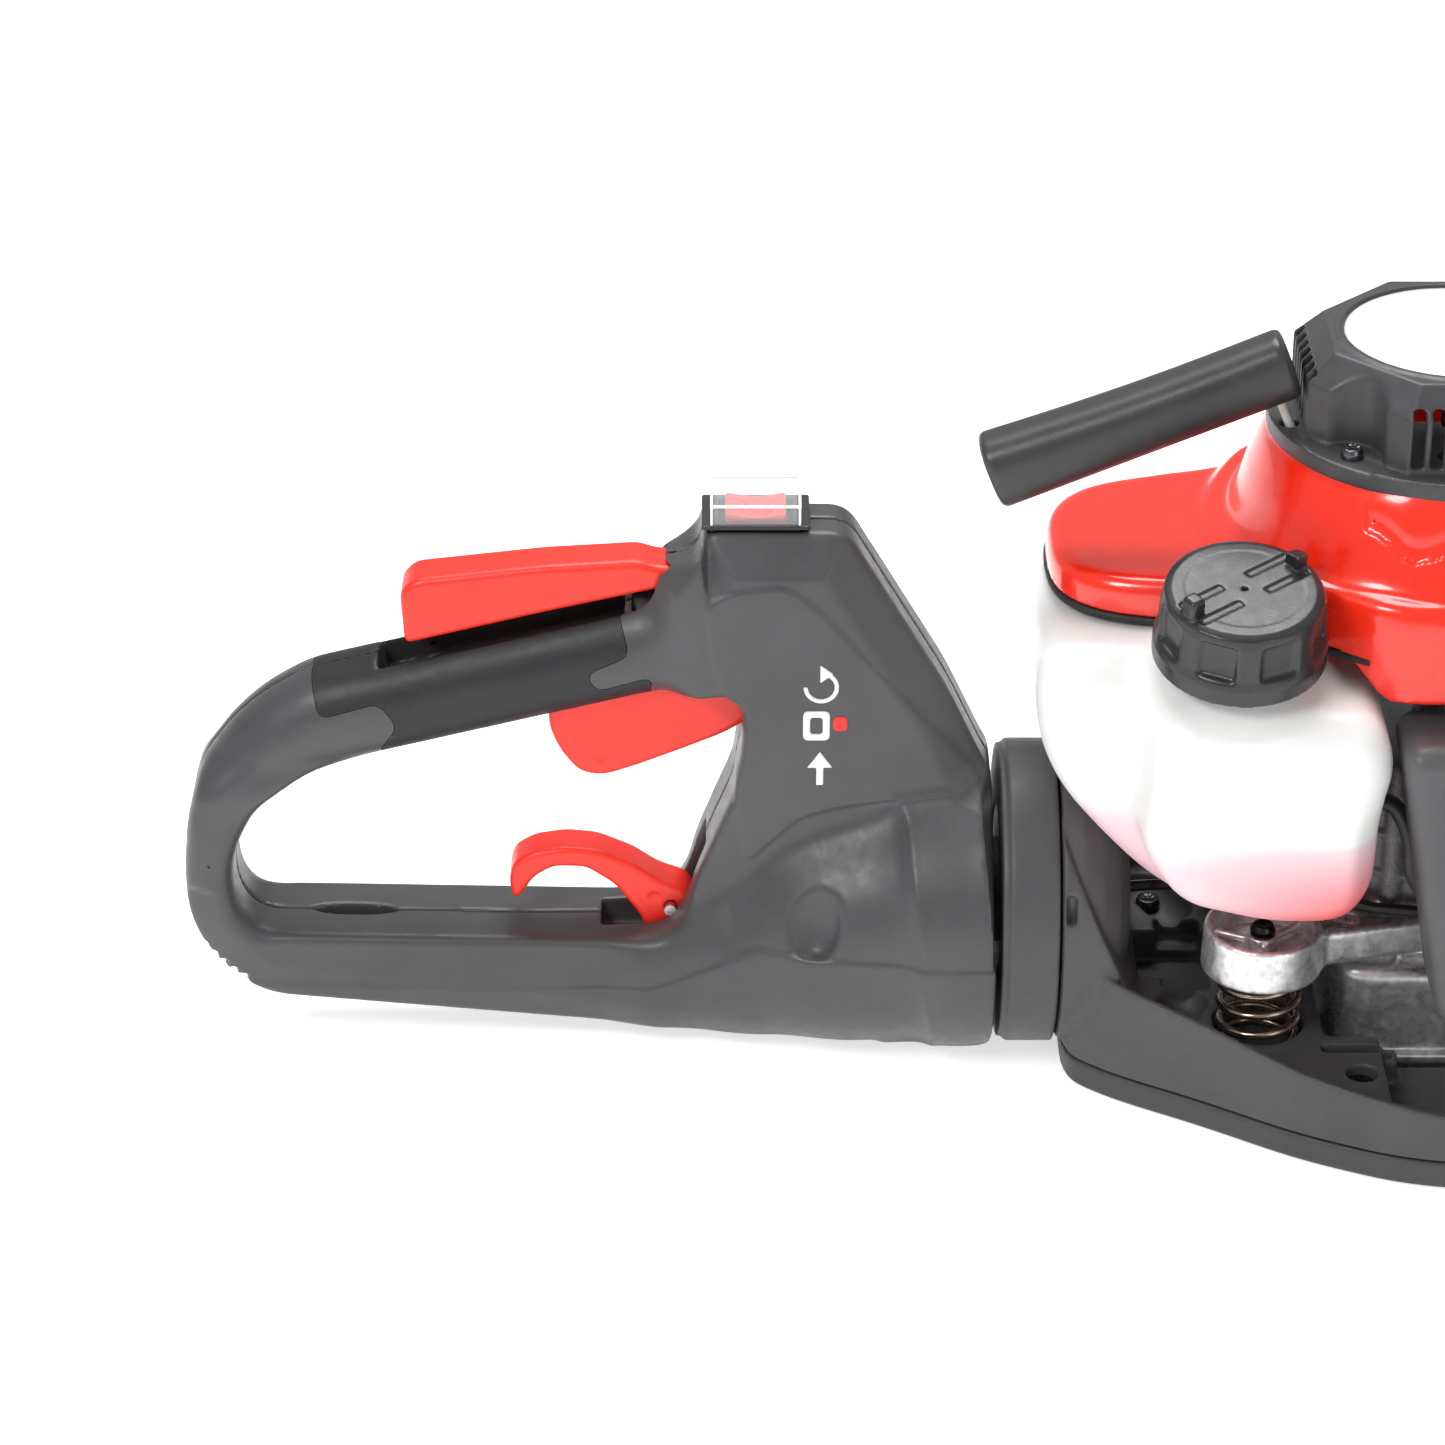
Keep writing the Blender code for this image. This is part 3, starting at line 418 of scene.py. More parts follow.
def loft(name: str, rings: Sequence[Sequence[Vector]], capped: bool = True, closed: bool = True) -> Piece:
    """A skin through rings of equally many points.

    Args:
        name: The object's name.
        rings: Points of each ring, in metres.
        capped: Whether the first and last ring are filled.
        closed: Whether each ring returns to its first point.

    Returns:
        The new object.
    """
    shape = bmesh.new()
    rows = [[shape.verts.new(point) for point in ring] for ring in rings]
    count = len(rows[0])
    for first, second in zip(rows, rows[1:]):
        for i in range(count if closed else count - 1):
            j = (i + 1) % count
            shape.faces.new((first[i], first[j], second[j], second[i]))
    if capped:
        shape.faces.new(rows[0])
        shape.faces.new(rows[-1])
    return keep_mesh(name, shape)


def lathe(name: str, profile: Sequence[Point], place: Matrix | None = None, steps: int = 96) -> Piece:
    """A turned solid about local Z from a profile of (radius, height) in millimetres, closed where it
    meets the axis.

    Args:
        name: Name of the piece.
        profile: Points of (radius, height), in millimetres.
        place: Matrix that places it, if any.
        steps: Facets round it.

    Returns:
        The piece.
    """
    shape = bmesh.new()
    rows = []
    for radius, height in profile:
        if radius < 0.001:
            rows.append([shape.verts.new(mm(0, 0, height))])
            continue
        turn = [2 * math.pi * i / steps for i in range(steps)]
        rows.append([shape.verts.new(mm(radius * math.cos(a), radius * math.sin(a), height)) for a in turn])
    for first, second in zip(rows, rows[1:]):
        for i in range(steps):
            j = (i + 1) % steps
            corners = [first[i % len(first)], first[j % len(first)], second[j % len(second)],
                       second[i % len(second)]]
            corners = list(dict.fromkeys(corners))
            if len(corners) > 2:
                shape.faces.new(corners)
    made = keep_mesh(name, shape)
    if place:
        made.data.transform(place)
    return made


def rounded(points: Sequence[Point], radius: float, steps: int = 5) -> list[Point]:
    """An outline with each corner replaced by an arc-like curve of about that radius, in millimetres.

    Args:
        points: Points of the outline or curve.
        radius: Radius in millimetres.
        steps: How many steps make each curve.

    Returns:
        The outline.
    """
    found: list[Point] = []
    for i, point in enumerate(points):
        here = Vector(point)
        before, after = Vector(points[i - 1]), Vector(points[(i + 1) % len(points)])
        cut_in = min(radius, (here - before).length * CORNER_SHARE)
        cut_out = min(radius, (after - here).length * CORNER_SHARE)
        start = here + (before - here).normalized() * cut_in
        end = here + (after - here).normalized() * cut_out
        for k in range(steps + 1):
            t = k / steps
            place = start * (1 - t) ** 2 + here * 2 * t * (1 - t) + end * t**2
            found.append((place.x, place.y))
    return found


def flowing(points: Sequence[Vector], steps: int) -> list[Vector]:
    """Points of a Catmull-Rom curve through the given ones, with so many steps between two of them.

    Args:
        points: Points of the outline or curve.
        steps: How many steps make each curve.

    Returns:
        The curve.
    """
    ends = [2 * points[0] - points[1], *points, 2 * points[-1] - points[-2]]
    found = []
    for a, b, c, d in zip(ends, ends[1:], ends[2:], ends[3:]):
        for k in range(steps):
            t = k / steps
            found.append(0.5 * (
                2 * b + (c - a) * t + (2 * a - 5 * b + 4 * c - d) * t**2 + (3 * b - a - 3 * c + d) * t**3))
    return [*found, points[-1]]


def prism(name: str, outline: Sequence[Point], low: float, high: float, plane: Plane = Plane.TOP) -> Piece:
    """An outline in millimetres made thick from low to high along the third axis.

    Args:
        name: Name of the piece.
        outline: Corners, in millimetres.
        low: Where the thickness starts, in millimetres.
        high: Where the thickness ends, in millimetres.
        plane: Plane that the outline lies in.

    Returns:
        The piece.
    """
    spots: dict[Plane, Callable[[float, float, float], Vector]] = {
        Plane.TOP: lambda a, b, c: mm(a, b, c),
        Plane.SIDE: lambda a, b, c: mm(a, c, b),
        Plane.FRONT: lambda a, b, c: mm(c, a, b),
    }
    put = spots[plane]
    return loft(name, [[put(a, b, low) for a, b in outline], [put(a, b, high) for a, b in outline]])


def bar(name: str, start: Vector, end: Vector, radius: float, end_radius: float | None = None,
        sides: int = 48) -> Piece:
    """A round bar or cone between two points in metres, with radii in millimetres.

    Args:
        name: Name of the piece.
        start: First end.
        end: Second end.
        radius: Radius in millimetres.
        end_radius: Radius at the second end, if it differs.
        sides: Facets round the bar.

    Returns:
        The piece.
    """
    shape = bmesh.new()
    last = radius if end_radius is None else end_radius
    length = (end - start).length
    bmesh.ops.create_cone(shape, cap_ends=True, segments=sides, radius1=radius * MM, radius2=last * MM,
                          depth=length)
    turn = Vector((0, 0, 1)).rotation_difference(end - start).to_matrix().to_4x4()
    bmesh.ops.transform(shape, matrix=Matrix.Translation((start + end) / 2) @ turn, verts=shape.verts)
    return keep_mesh(name, shape)


def wire(name: str, route: Sequence[Vector], radius: float, sides: int = 16) -> Piece:
    """A round tube along points in metres, with its radius in millimetres.

    Args:
        name: Name of the piece.
        route: Points along the middle, in metres.
        radius: Radius in millimetres.
        sides: Facets round the tube.

    Returns:
        The piece.
    """
    rings = []
    side = None
    for i, point in enumerate(route):
        ahead = (route[min(i + 1, len(route) - 1)] - route[max(i - 1, 0)]).normalized()
        if side is None:
            side = ahead.orthogonal().normalized()
        side = (side - ahead * side.dot(ahead)).normalized()
        other = ahead.cross(side)
        turn = [2 * math.pi * k / sides for k in range(sides)]
        rings.append([point + (side * math.cos(a) + other * math.sin(a)) * radius * MM for a in turn])
    return loft(name, rings)


def carve(made: Piece, tools: Iterable[Piece], kind: str = "DIFFERENCE",
          solver: str = "EXACT") -> Piece:
    """Cuts or joins a piece with tools, applies it at once and removes the tools.

    Args:
        made: The piece.
        tools: Cutting or joining pieces.
        kind: Name of the Boolean operation.
        solver: Name of the Boolean solver.

    Returns:
        The piece.
    """
    for tool in tools:
        step = made.modifiers.new("step", "BOOLEAN")
        step.operation = kind
        step.solver = solver
        step.object = tool
        settle(made)
        bpy.data.objects.remove(tool)
    made.data.shade_smooth()
    made.data.set_sharp_from_angle(angle=math.radians(35))
    return made


def settle(made: Piece) -> Piece:
    """Applies a piece's modifiers to its mesh.

    Args:
        made: The piece.

    Returns:
        The piece.
    """
    bpy.context.view_layer.update()
    mesh = bpy.data.meshes.new_from_object(made.evaluated_get(bpy.context.evaluated_depsgraph_get()))
    made.modifiers.clear()
    old = made.data
    made.data = mesh
    bpy.data.meshes.remove(old)
    return made


def ease(made: Piece, width: float, segments: int = 3, angle: float = 32.0) -> Piece:
    """Rounds a piece's edges by a width in millimetres.

    Args:
        made: The piece.
        width: Width in millimetres.
        segments: Steps across the rounding.
        angle: Edges sharper than this are rounded, in degrees.

    Returns:
        The piece.
    """
    bevel = made.modifiers.new("ease", "BEVEL")
    bevel.width = width * MM
    bevel.segments = segments
    bevel.limit_method = "ANGLE"
    bevel.angle_limit = math.radians(angle)
    bevel.harden_normals = False
    return made


class Clay:
    """Soft solids shaped as a field of distances on a grid, in millimetres, then skinned as a closed mesh.
    """

    def __init__(self, low: Sequence[float], high: Sequence[float], step: float) -> None:
        """Lays out an empty grid between two corners.

        Args:
            low: Low corner, in millimetres.
            high: High corner, in millimetres.
            step: Spacing of the grid, in millimetres.
        """
        self.low = np.array(low, float)
        self.step = step
        spans = [np.arange(a, b + step, step, dtype=np.float32) for a, b in zip(low, high)]
        self.x, self.y, self.z = spans[0][:, None, None], spans[1][None, :, None], spans[2][None, None, :]
        self.field = np.full([len(span) for span in spans], 99.0, np.float32)

    def flat(self, outline: Sequence[Point], plane: Plane) -> np.ndarray:
        """Distances to an outline drawn in a plane, less than nought inside it.

        Args:
            outline: Its points.
            plane: The plane of the outline.

        Returns:
            The distances, over that plane's part of the grid.
        """
        across, up = {Plane.TOP: (self.x, self.y), Plane.SIDE: (self.x, self.z),
                      Plane.FRONT: (self.y, self.z)}[plane]
        across, up = np.broadcast_arrays(across, up)
        return distance_to(outline, across, up)

    def slab(self, outline: Sequence[Point] | np.ndarray, plane: Plane, low: float, high: float,
             soft: float | np.ndarray = 1.0) -> np.ndarray:
        """An outline made thick from low to high, with edges rounded by soft.

        Args:
            outline: Corners, or a field that is below nought inside.
            plane: Plane that the outline lies in.
            low: Where the thickness starts.
            high: Where the thickness ends.
            soft: Size of the edge rounding.

        Returns:
            The field over the grid.
        """
        reach = outline if isinstance(outline, np.ndarray) else self.flat(outline, plane)
        depth = {Plane.TOP: self.z, Plane.SIDE: self.y, Plane.FRONT: self.x}[plane]
        reach = reach + soft
        thick = np.abs(depth - (low + high) / 2) - (high - low) / 2 + soft
        outside = np.sqrt(np.maximum(reach, 0) ** 2 + np.maximum(thick, 0) ** 2)
        return outside + np.minimum(np.maximum(reach, thick), 0) - soft

    def block(self, low: Sequence[float], high: Sequence[float], soft: float = 1.0,
              place: Matrix | None = None) -> np.ndarray:
        """A rounded block between two corners, in the axes of a matrix (millimetres) if given.

        Args:
            low: Low corner.
            high: High corner.
            soft: Size of the edge rounding.
            place: Matrix that gives the axes, in millimetres.

        Returns:
            The field over the grid.
        """
        spots = self.local(place)
        total, most = 0.0, -99.0
        for spot, a, b in zip(spots, low, high):
            gap = np.abs(spot - (a + b) / 2) - (b - a) / 2 + soft
            total = total + np.maximum(gap, 0) ** 2
            most = np.maximum(most, gap)
        return np.sqrt(total) + np.minimum(most, 0) - soft

    def local(self, place: Matrix | None) -> tuple[np.ndarray, ...]:
        """The grid's coordinates in the axes of a matrix.

        Args:
            place: Matrix that gives the axes, in millimetres.

        Returns:
            The three coordinates.
        """
        if place is None:
            return self.x, self.y, self.z
        back = place.inverted()
        return tuple(back[i][0] * self.x + back[i][1] * self.y + back[i][2] * self.z + back[i][
            3] for i in range(3))

    def rod(self, start: Sequence[float], end: Sequence[float], radius: float,
            end_radius: float | None = None,
            flat_ends: bool = False) -> np.ndarray:
        """A rod or cone between two points, with round ends unless flat_ends is set.

        Args:
            start: First end.
            end: Second end.
            radius: Radius in millimetres.
            end_radius: Radius at the second end, if it differs.
            flat_ends: Whether the ends are cut flat.

        Returns:
            The field over the grid.
        """
        way = np.array(end, float) - np.array(start, float)
        length = float(np.linalg.norm(way))
        way = way / length
        dx, dy, dz = self.x - start[0], self.y - start[1], self.z - start[2]
        along = dx * way[0] + dy * way[1] + dz * way[2]
        t = np.clip(along, 0, length)
        apart = np.sqrt((dx - t * way[0]) ** 2 + (dy - t * way[1]) ** 2 + (dz - t * way[2]) ** 2)
        last = radius if end_radius is None else end_radius
        round_rod = apart - (radius + (last - radius) * t / length)
        if not flat_ends:
            return round_rod
        aside = np.sqrt(np.maximum(dx * dx + dy * dy + dz * dz - along * along, 0))
        wall = aside - (radius + (last - radius) * t / length)
        return np.maximum(wall, np.maximum(-along, along - length))

    def turned(self, profile: Sequence[Point], place: Matrix | None = None) -> np.ndarray:
        """A turned solid from a profile of (radius, height) points, about the Z axis of a matrix
        (millimetres).

        Args:
            profile: Points of (radius, height), in millimetres.
            place: Matrix that gives the axes, in millimetres.

        Returns:
            The field over the grid.
        """
        dx, dy, dz = self.local(place)
        radius = np.sqrt(dx * dx + dy * dy)
        radius, height = np.broadcast_arrays(radius, dz)
        return distance_to([*profile, (-profile[-1][0], profile[-1][1]), (-profile[0][0], profile[0][1])],
                           radius, height)

    def add(self, shape: np.ndarray, blend: float = 0.0) -> "Clay":
        """Joins a shape, with a fillet of about blend."""
        self.field = soft_min(self.field, shape, blend)
        return self

    def cut(self, shape: np.ndarray, blend: float = 0.0) -> "Clay":
        """Cuts a shape away, with its edge eased by about blend."""
        self.field = -soft_min(-self.field, shape, blend)
        return self

    def keep(self, shape: np.ndarray, blend: float = 0.0) -> "Clay":
        """Keeps only what lies inside a shape."""
        self.field = -soft_min(-self.field, -shape, blend)
        return self

    def skin(self, name: str, passes: int = 2) -> Piece:
        """Meshes the surface where the field is nought.

        Args:
            name: The object's name.
            passes: Rounds of smoothing.

        Returns:
            The new object, closed and smooth shaded.
        """
        field = np.pad(self.field, 1, constant_values=9.0)
        inside = field < 0
        cells = tuple(size - 1 for size in field.shape)
        corners = [(i, j, k) for i in (0, 1) for j in (0, 1) for k in (0, 1)]
        window = [inside[i:cells[0] + i, j:cells[1] + j, k:cells[2] + k] for i, j, k in corners]
        mixed = np.logical_or.reduce(window) & ~np.logical_and.reduce(window)
        found = np.argwhere(mixed)
        number = np.full(cells, -1, np.int64)
        number[mixed] = np.arange(len(found))
        values = {c: field[found[:, 0] + c[0], found[:, 1] + c[1], found[:, 2] + c[2]] for c in corners}
        total, count = np.zeros((len(found), 3)), np.zeros((len(found), 1))
        for a in corners:
            for axis in range(3):
                if a[axis]:
                    continue
                b = tuple(1 if i == axis else a[i] for i in range(3))
                crossed = (values[a] < 0) != (values[b] < 0)
                share = np.where(crossed, values[a] / np.where(crossed, values[a] - values[b], 1), 0)
                spot = np.tile(np.array(a, float), (len(found), 1))
                spot[:, axis] = share
                total += np.where(crossed[:, None], spot, 0)
                count += crossed[:, None]
        points = (found - 1 + total / count) * self.step + self.low
        quads = []
        for axis in range(3):
            ahead, behind = [slice(1, -1)] * 3, [slice(1, -1)] * 3
            ahead[axis], behind[axis] = slice(1, None), slice(0, -1)
            here, there = inside[tuple(behind)], inside[tuple(ahead)]
            for rising in (False, True):
                at = np.argwhere((here != there) & (here == rising))
                at += np.array([0 if i == axis else 1 for i in range(3)])
                one, two = (axis + 1) % 3, (axis + 2) % 3
                steps = [np.zeros(3, int) for _ in range(4)]
                steps[0][one] = steps[0][two] = steps[1][two] = steps[3][one] = -1
                ring = [number[tuple((at + step).T)] for step in steps]
                quads.append(np.stack(ring if rising else ring[::-1], axis=1))
        faces = np.concatenate(quads)
        mesh = bpy.data.meshes.new(name)
        mesh.from_pydata((points * MM).tolist(), [], faces.tolist())
        mesh.update()
        made = bpy.data.objects.new(name, mesh)
        bpy.context.scene.collection.objects.link(made)
        if passes:
            relax = made.modifiers.new("relax", "SMOOTH")
            relax.factor = 0.5
            relax.iterations = passes
            settle(made)
        made.data.shade_smooth()
        return made


def distance_to(outline: Sequence[Point], across: np.ndarray, up: np.ndarray) -> np.ndarray:
    """Distances from grid points to a closed outline, less than nought inside it.

    Args:
        outline: Its points.
        across: First coordinates of the grid points.
        up: Second coordinates of the grid points.

    Returns:
        The distances.
    """
    nearest = np.full(across.shape, 1e6, np.float32)
    inside = np.zeros(across.shape, bool)
    for (x1, y1), (x2, y2) in zip(outline, [*outline[1:], outline[0]]):
        dx, dy = x2 - x1, y2 - y1
        size = dx * dx + dy * dy
        if size == 0:
            continue
        t = np.clip(((across - x1) * dx + (up - y1) * dy) / size, 0, 1)
        nearest = np.minimum(nearest, (across - x1 - t * dx) ** 2 + (up - y1 - t * dy) ** 2)
        if y1 != y2:
            inside ^= ((y1 > up) != (y2 > up)) & (across < dx * (up - y1) / dy + x1)
    return np.where(inside, -1, 1).astype(np.float32) * np.sqrt(nearest)


def soft_min(a: np.ndarray, b: np.ndarray, blend: float) -> np.ndarray:
    """The lesser of two fields, with a fillet of about blend where they meet.

    Args:
        a: First field.
        b: Second field.
        blend: Size of the fillet.

    Returns:
        The field over the grid.
    """
    if not blend:
        return np.minimum(a, b)
    near = np.maximum(blend - np.abs(a - b), 0)
    return np.minimum(a, b) - near * near / (4 * blend)


def ramp_up(value: np.ndarray, start: float, end: float) -> np.ndarray:
    """0 up to start, 1 from end on, and an even curve between."""
    t = np.clip((value - start) / (end - start), 0, 1)
    return t * t * (3 - 2 * t)


@dataclass
class Assembly:
    """A group of pieces that are built and dressed together."""

    def show(self, piece: Piece, body: Body, finish: Material, slot: str,
             nodes: Sequence[str] = ()) -> Piece:
        """Dresses a piece, sets what it moves with and says which plain solids it stands for.

        Args:
            piece: The finished mesh.
            body: The body that it moves with.
            finish: Its material.
            slot: The material slot of the record; not used.
            nodes: The plain solids that it replaces.

        Returns:
            The piece.
        """
        piece.data.materials.clear()
        piece.data.materials.append(finish)
        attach(piece, body.value)
        if nodes:
            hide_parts(*nodes)
        log.info("%s rides on %s", piece.name, body.value)
        return piece

    def dress(self, finish: Material, *nodes: str, soften: float = 0.0) -> None:
        """Gives plain solids a finish and, if asked, eased edges in millimetres.

        Args:
            finish: Material to give.
        """
        for name in nodes:
            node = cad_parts[name]
            node.data.materials.clear()
            node.data.materials.append(finish)
            if soften:
                ease(node, soften, 2)
            log.info("%s dressed", name)


# ------------------------------------------------------------------ studio


@dataclass
class Studio:
    """The pale floor, the soft lights and the camera."""

    target: tuple[float, float, float] = (-0.240, 0.0, 0.1176)
    distance: float = 1.6375
    elevation: float = 28.0
    lens: float = 120.0

    def build(self) -> None:
        """Makes the camera first, then the floor and the lights."""
        self.build_camera()
        self.build_floor()
        self.build_lights()

    def build_camera(self) -> None:
        """Sets a long lens looking down at the machine's right side."""
        data = bpy.data.cameras.new("camera")
        data.lens = self.lens
        data.sensor_width = 36
        camera = bpy.data.objects.new("camera", data)
        angle = math.radians(self.elevation)
        camera.location = Vector(self.target) + self.distance * Vector((0, -math.cos(angle),
                                                                        math.sin(angle)))
        camera.rotation_euler = (math.pi / 2 - angle, 0, 0)
        bpy.context.scene.collection.objects.link(camera)
        bpy.context.scene.camera = camera

    def build_floor(self) -> None:
        """Lays a wide white floor just under the skirt."""
        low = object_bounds()[0][2] - 0.0005
        mesh = bpy.data.meshes.new("floor")
        mesh.from_pydata([(-6, -6, low), (6, -6, low), (6, 6, low), (-6, 6, low)], [], [(0, 1, 2, 3)])
        floor = bpy.data.objects.new("floor", mesh)
        bpy.context.scene.collection.objects.link(floor)
        bench = NodeBench("white_floor")
        bench.wire("Base Color",
                   bench.ramp(bench.noise(3.0), ((0.3, (0.88, 0.88, 0.88)), (0.7, (0.9, 0.9, 0.9)))))
        bench.shader.inputs["Roughness"].default_value = 0.9
        bench.shader.inputs["Specular IOR Level"].default_value = 0.1
        bench.shader.inputs["Emission Color"].default_value = (1, 1, 1, 1)
        bench.shader.inputs["Emission Strength"].default_value = 0.62
        mesh.materials.append(bench.material)
        floor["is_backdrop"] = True

    def build_lights(self) -> None:
        """Hangs three soft boxes and sets a bright, even surround."""
        world = bpy.data.worlds.new("surround")
        world.use_nodes = True
        back = world.node_tree.nodes["Background"]
        back.inputs["Color"].default_value = (1, 1, 1, 1)
        back.inputs["Strength"].default_value = 0.42
        bpy.context.scene.world = world
        bpy.context.scene.view_settings.view_transform = "Standard"
        boxes = (
            ("overhead", (-0.15, 0.45, 1.4), 0.9, 17.0),
            ("key", (-1.0, -1.0, 1.3), 0.6, 13.0),
            ("fill", (0.8, -1.4, 0.6), 0.8, 3.0),
        )
        for name, place, size, power in boxes:
            data = bpy.data.lights.new(name, "AREA")
            data.shape = "DISK"
            data.size = size
            data.energy = power
            light = bpy.data.objects.new(name, data)
            light.location = place
            light.rotation_euler = (Vector(self.target) - Vector(place)).to_track_quat("-Z", "Y").to_euler()
            bpy.context.scene.collection.objects.link(light)


# ------------------------------------------------------------------ rear handle


TRIGGER_PIVOT: Point = (-227, 141)
TRIGGER_TRAVEL = math.radians(14)
TRIGGER_SIDE: tuple[Point, ...] = (
    (-299, 131), (-299, 119), (-295.5, 110), (-289, 101.5), (-281, 99.8), (-270, 103.5), (-254, 110),
    (-239, 116.5), (-229, 123), (-221.8, 134), (-221.8, 144), (-226, 147.6), (-242, 145.8), (-262, 139.8))
LOCKOUT_PIVOT: Point = (-243, 177.5)
LOCKOUT_TRAVEL = math.radians(-8)
LOCKOUT_SIDE: tuple[Point, ...] = (
    (-347.8, 170.5), (-346.6, 151.5), (-300, 163.2), (-262, 172), (-240, 172.6), (-238.7, 176),
    (-239.2, 180),
    (-262, 180.4), (-268, 182.6), (-300, 180.6), (-343, 175.6))


def turned_about(outline: Sequence[Point], pivot: Point, angle: float) -> list[Point]:
    """A side view turned about a pivot, clockwise for an angle above nought.

    Args:
        outline: Corners of the side view.
        pivot: Point that it turns about.
        angle: Turn in radians.

    Returns:
        The outline.
    """
    c, d = math.cos(angle), math.sin(angle)
    px, pz = pivot
    return [(px + (x - px) * c + (z - pz) * d, pz - (x - px) * d + (z - pz) * c) for x, z in outline]


@dataclass
class RearHandle(Assembly):
    """The looped rear handle: two moulded halves that meet on the middle plane, and the soft sleeve on the
    grip.
    """

    step: float = 0.9
    half_width: float = 20.0
    seam: float = 0.5
    grip_rear: tuple[float, float, float] = (-380.0, 0.0, 121.8)
    grip_front: tuple[float, float, float] = (-258.0, 0.0, 152.2)
    outer: tuple[Point, ...] = (
        (-396, 19), (-300, 10), (-248, 5.5), (-206, 3), (-147.6, 2), (-147.6, 103), (-164, 138),
        (-198, 195.5),
        (-247, 196), (-249, 184.5), (-264, 182), (-266, 168.6), (-381, 140), (-396, 131), (-407, 121),
        (-418, 106), (-423, 88),
        (-425, 68), (-424.5, 52), (-420, 39), (-411, 27))
    opening: tuple[Point, ...] = (
        (-398, 46.5), (-262, 44), (-254, 52), (-251, 66), (-244, 84), (-237, 101), (-233.5, 119),
        (-233.5, 136),
        (-262, 132.5), (-382, 102.5), (-396, 94), (-404, 79), (-407, 66), (-405, 54))
    barrel: tuple[tuple[float, float, float], ...] = (
        (-292, 14, 27), (-262, 22, 26.5), (-230, 31, 34), (-197, 42, 43.5), (-170, 49, 50),
        (-147.6, 52.4, 52.5))
    panel: tuple[Point, ...] = (
        (-246, 172), (-236, 177), (-219, 179), (-207, 169), (-151, 104), (-200, 96), (-214, 92), (-232, 74),
        (-236, 98), (-236, 130), (-243, 150))
    lower_half: tuple[Point, ...] = ((-440, 24), (-300, 24), (-262, 27), (-244, 38), (-228, 48), (-130, 50),
                                     (-130, -10), (-440, -10))
    plastic: Material = made_of(Moulded(
        "dark_grey_nylon", (0.060, 0.061, 0.064), 0.4, 0.3, 1300.0, 0.1, 0.0, 0.5))
    white_ink: Material = made_of(Moulded("white_ink", (0.85, 0.85, 0.85), 0.5, 0.1))
    red_ink: Material = made_of(Moulded("red_ink", (0.8, 0.03, 0.02), 0.5, 0.1))
    sleeve_rubber: Material = made_of(Moulded(
        "grip_rubber", (0.105, 0.106, 0.11), 0.44, 0.35, 1000.0, 0.1, 0.0, 0.4))

    def grip_place(self) -> Matrix:
        """The grip's own axes in millimetres: x along it to the front, z up from it.

        Returns:
            The matrix.
        """
        along = (Vector(self.grip_front) - Vector(self.grip_rear)).normalized()
        turn = Matrix((along, (0, 1, 0), along.cross(Vector((0, 1, 0))))).transposed().to_4x4()
        return Matrix.Translation(self.grip_rear) @ turn

    def body(self) -> Clay:
        """The right half of the handle with its slots, as clay.

        Returns:
            The clay.
        """
        clay = Clay((-429, -56, -1), (-144, 2, 200), self.step)
        rim = clay.flat(rounded(self.outer, 7), Plane.SIDE)
        hole = clay.flat(rounded(self.opening, 8), Plane.SIDE)
        loop = np.maximum(rim, -hole)
        high, back = ramp_up(clay.z, 96, 112), 1 - ramp_up(clay.x, -262, -246)
        grip = high * back
        arch = (1 - ramp_up(clay.x, -408, -386)) * (1 - grip)
        soft = 4.0 + 13.0 * grip + 5.0 * arch
        clay.add(clay.slab(loop, Plane.SIDE, -self.half_width + 2 * grip, self.half_width - 2 * grip, soft))
        column = ramp_up(clay.z, 84, 100) * ramp_up(clay.x, -256, -244)
        beam = (1 - ramp_up(clay.z, 60, 84)) * (1 - ramp_up(clay.x, -190, -160))
        side = np.abs(clay.y) - self.half_width
        clay.keep(rim * 0.36 + side * 0.93 + 5.0 - 40 * (1 - beam), 0.8)
        clay.keep(rim * 0.5 + side * 0.866 + 7.3 - 40 * (1 - column), 0.8)
        for (xa, ra, za), (xb, rb, zb) in zip(self.barrel, self.barrel[1:]):
            clay.add(clay.rod((xa, 0, za), (xb, 0, zb), ra, rb, xb > -150), 9)
        clay.keep(clay.x + 147.6, 1.2)
        clay.keep(rim + 0.0, 3)
        clay.cut(clay.slab(hole, Plane.SIDE, -60, 60, 0.5), 5)
        self.relieve(clay)
        self.press(clay, self.panel, -0.9)
        self.press(clay, self.lower_half, -0.8)
        self.slot(clay)
        clay.keep(clay.y + self.seam / 2)
        return clay

    def relieve(self, clay: Clay) -> None:
        """Presses in the oval hollow and a row of short crosswise grooves round the rear of the loop.

        Args:
            clay: The grid that the shape is made in.
        """
        oval = np.sqrt(((clay.x + 212) / 13) ** 2 + ((clay.z - 72 + (clay.x + 212) * 0.25) / 25) ** 2 + (
            (clay.y + 42) / 10) ** 2)
        clay.cut((oval - 1) * 9, 1.6)
        for k in range(7):
            x, z = -425.2 + 3.3 * k, 46 - 4.0 * k + 0.12 * k * k
            clay.cut(clay.rod((x, -30, z), (x, 30, z), 1.3), 0.6)

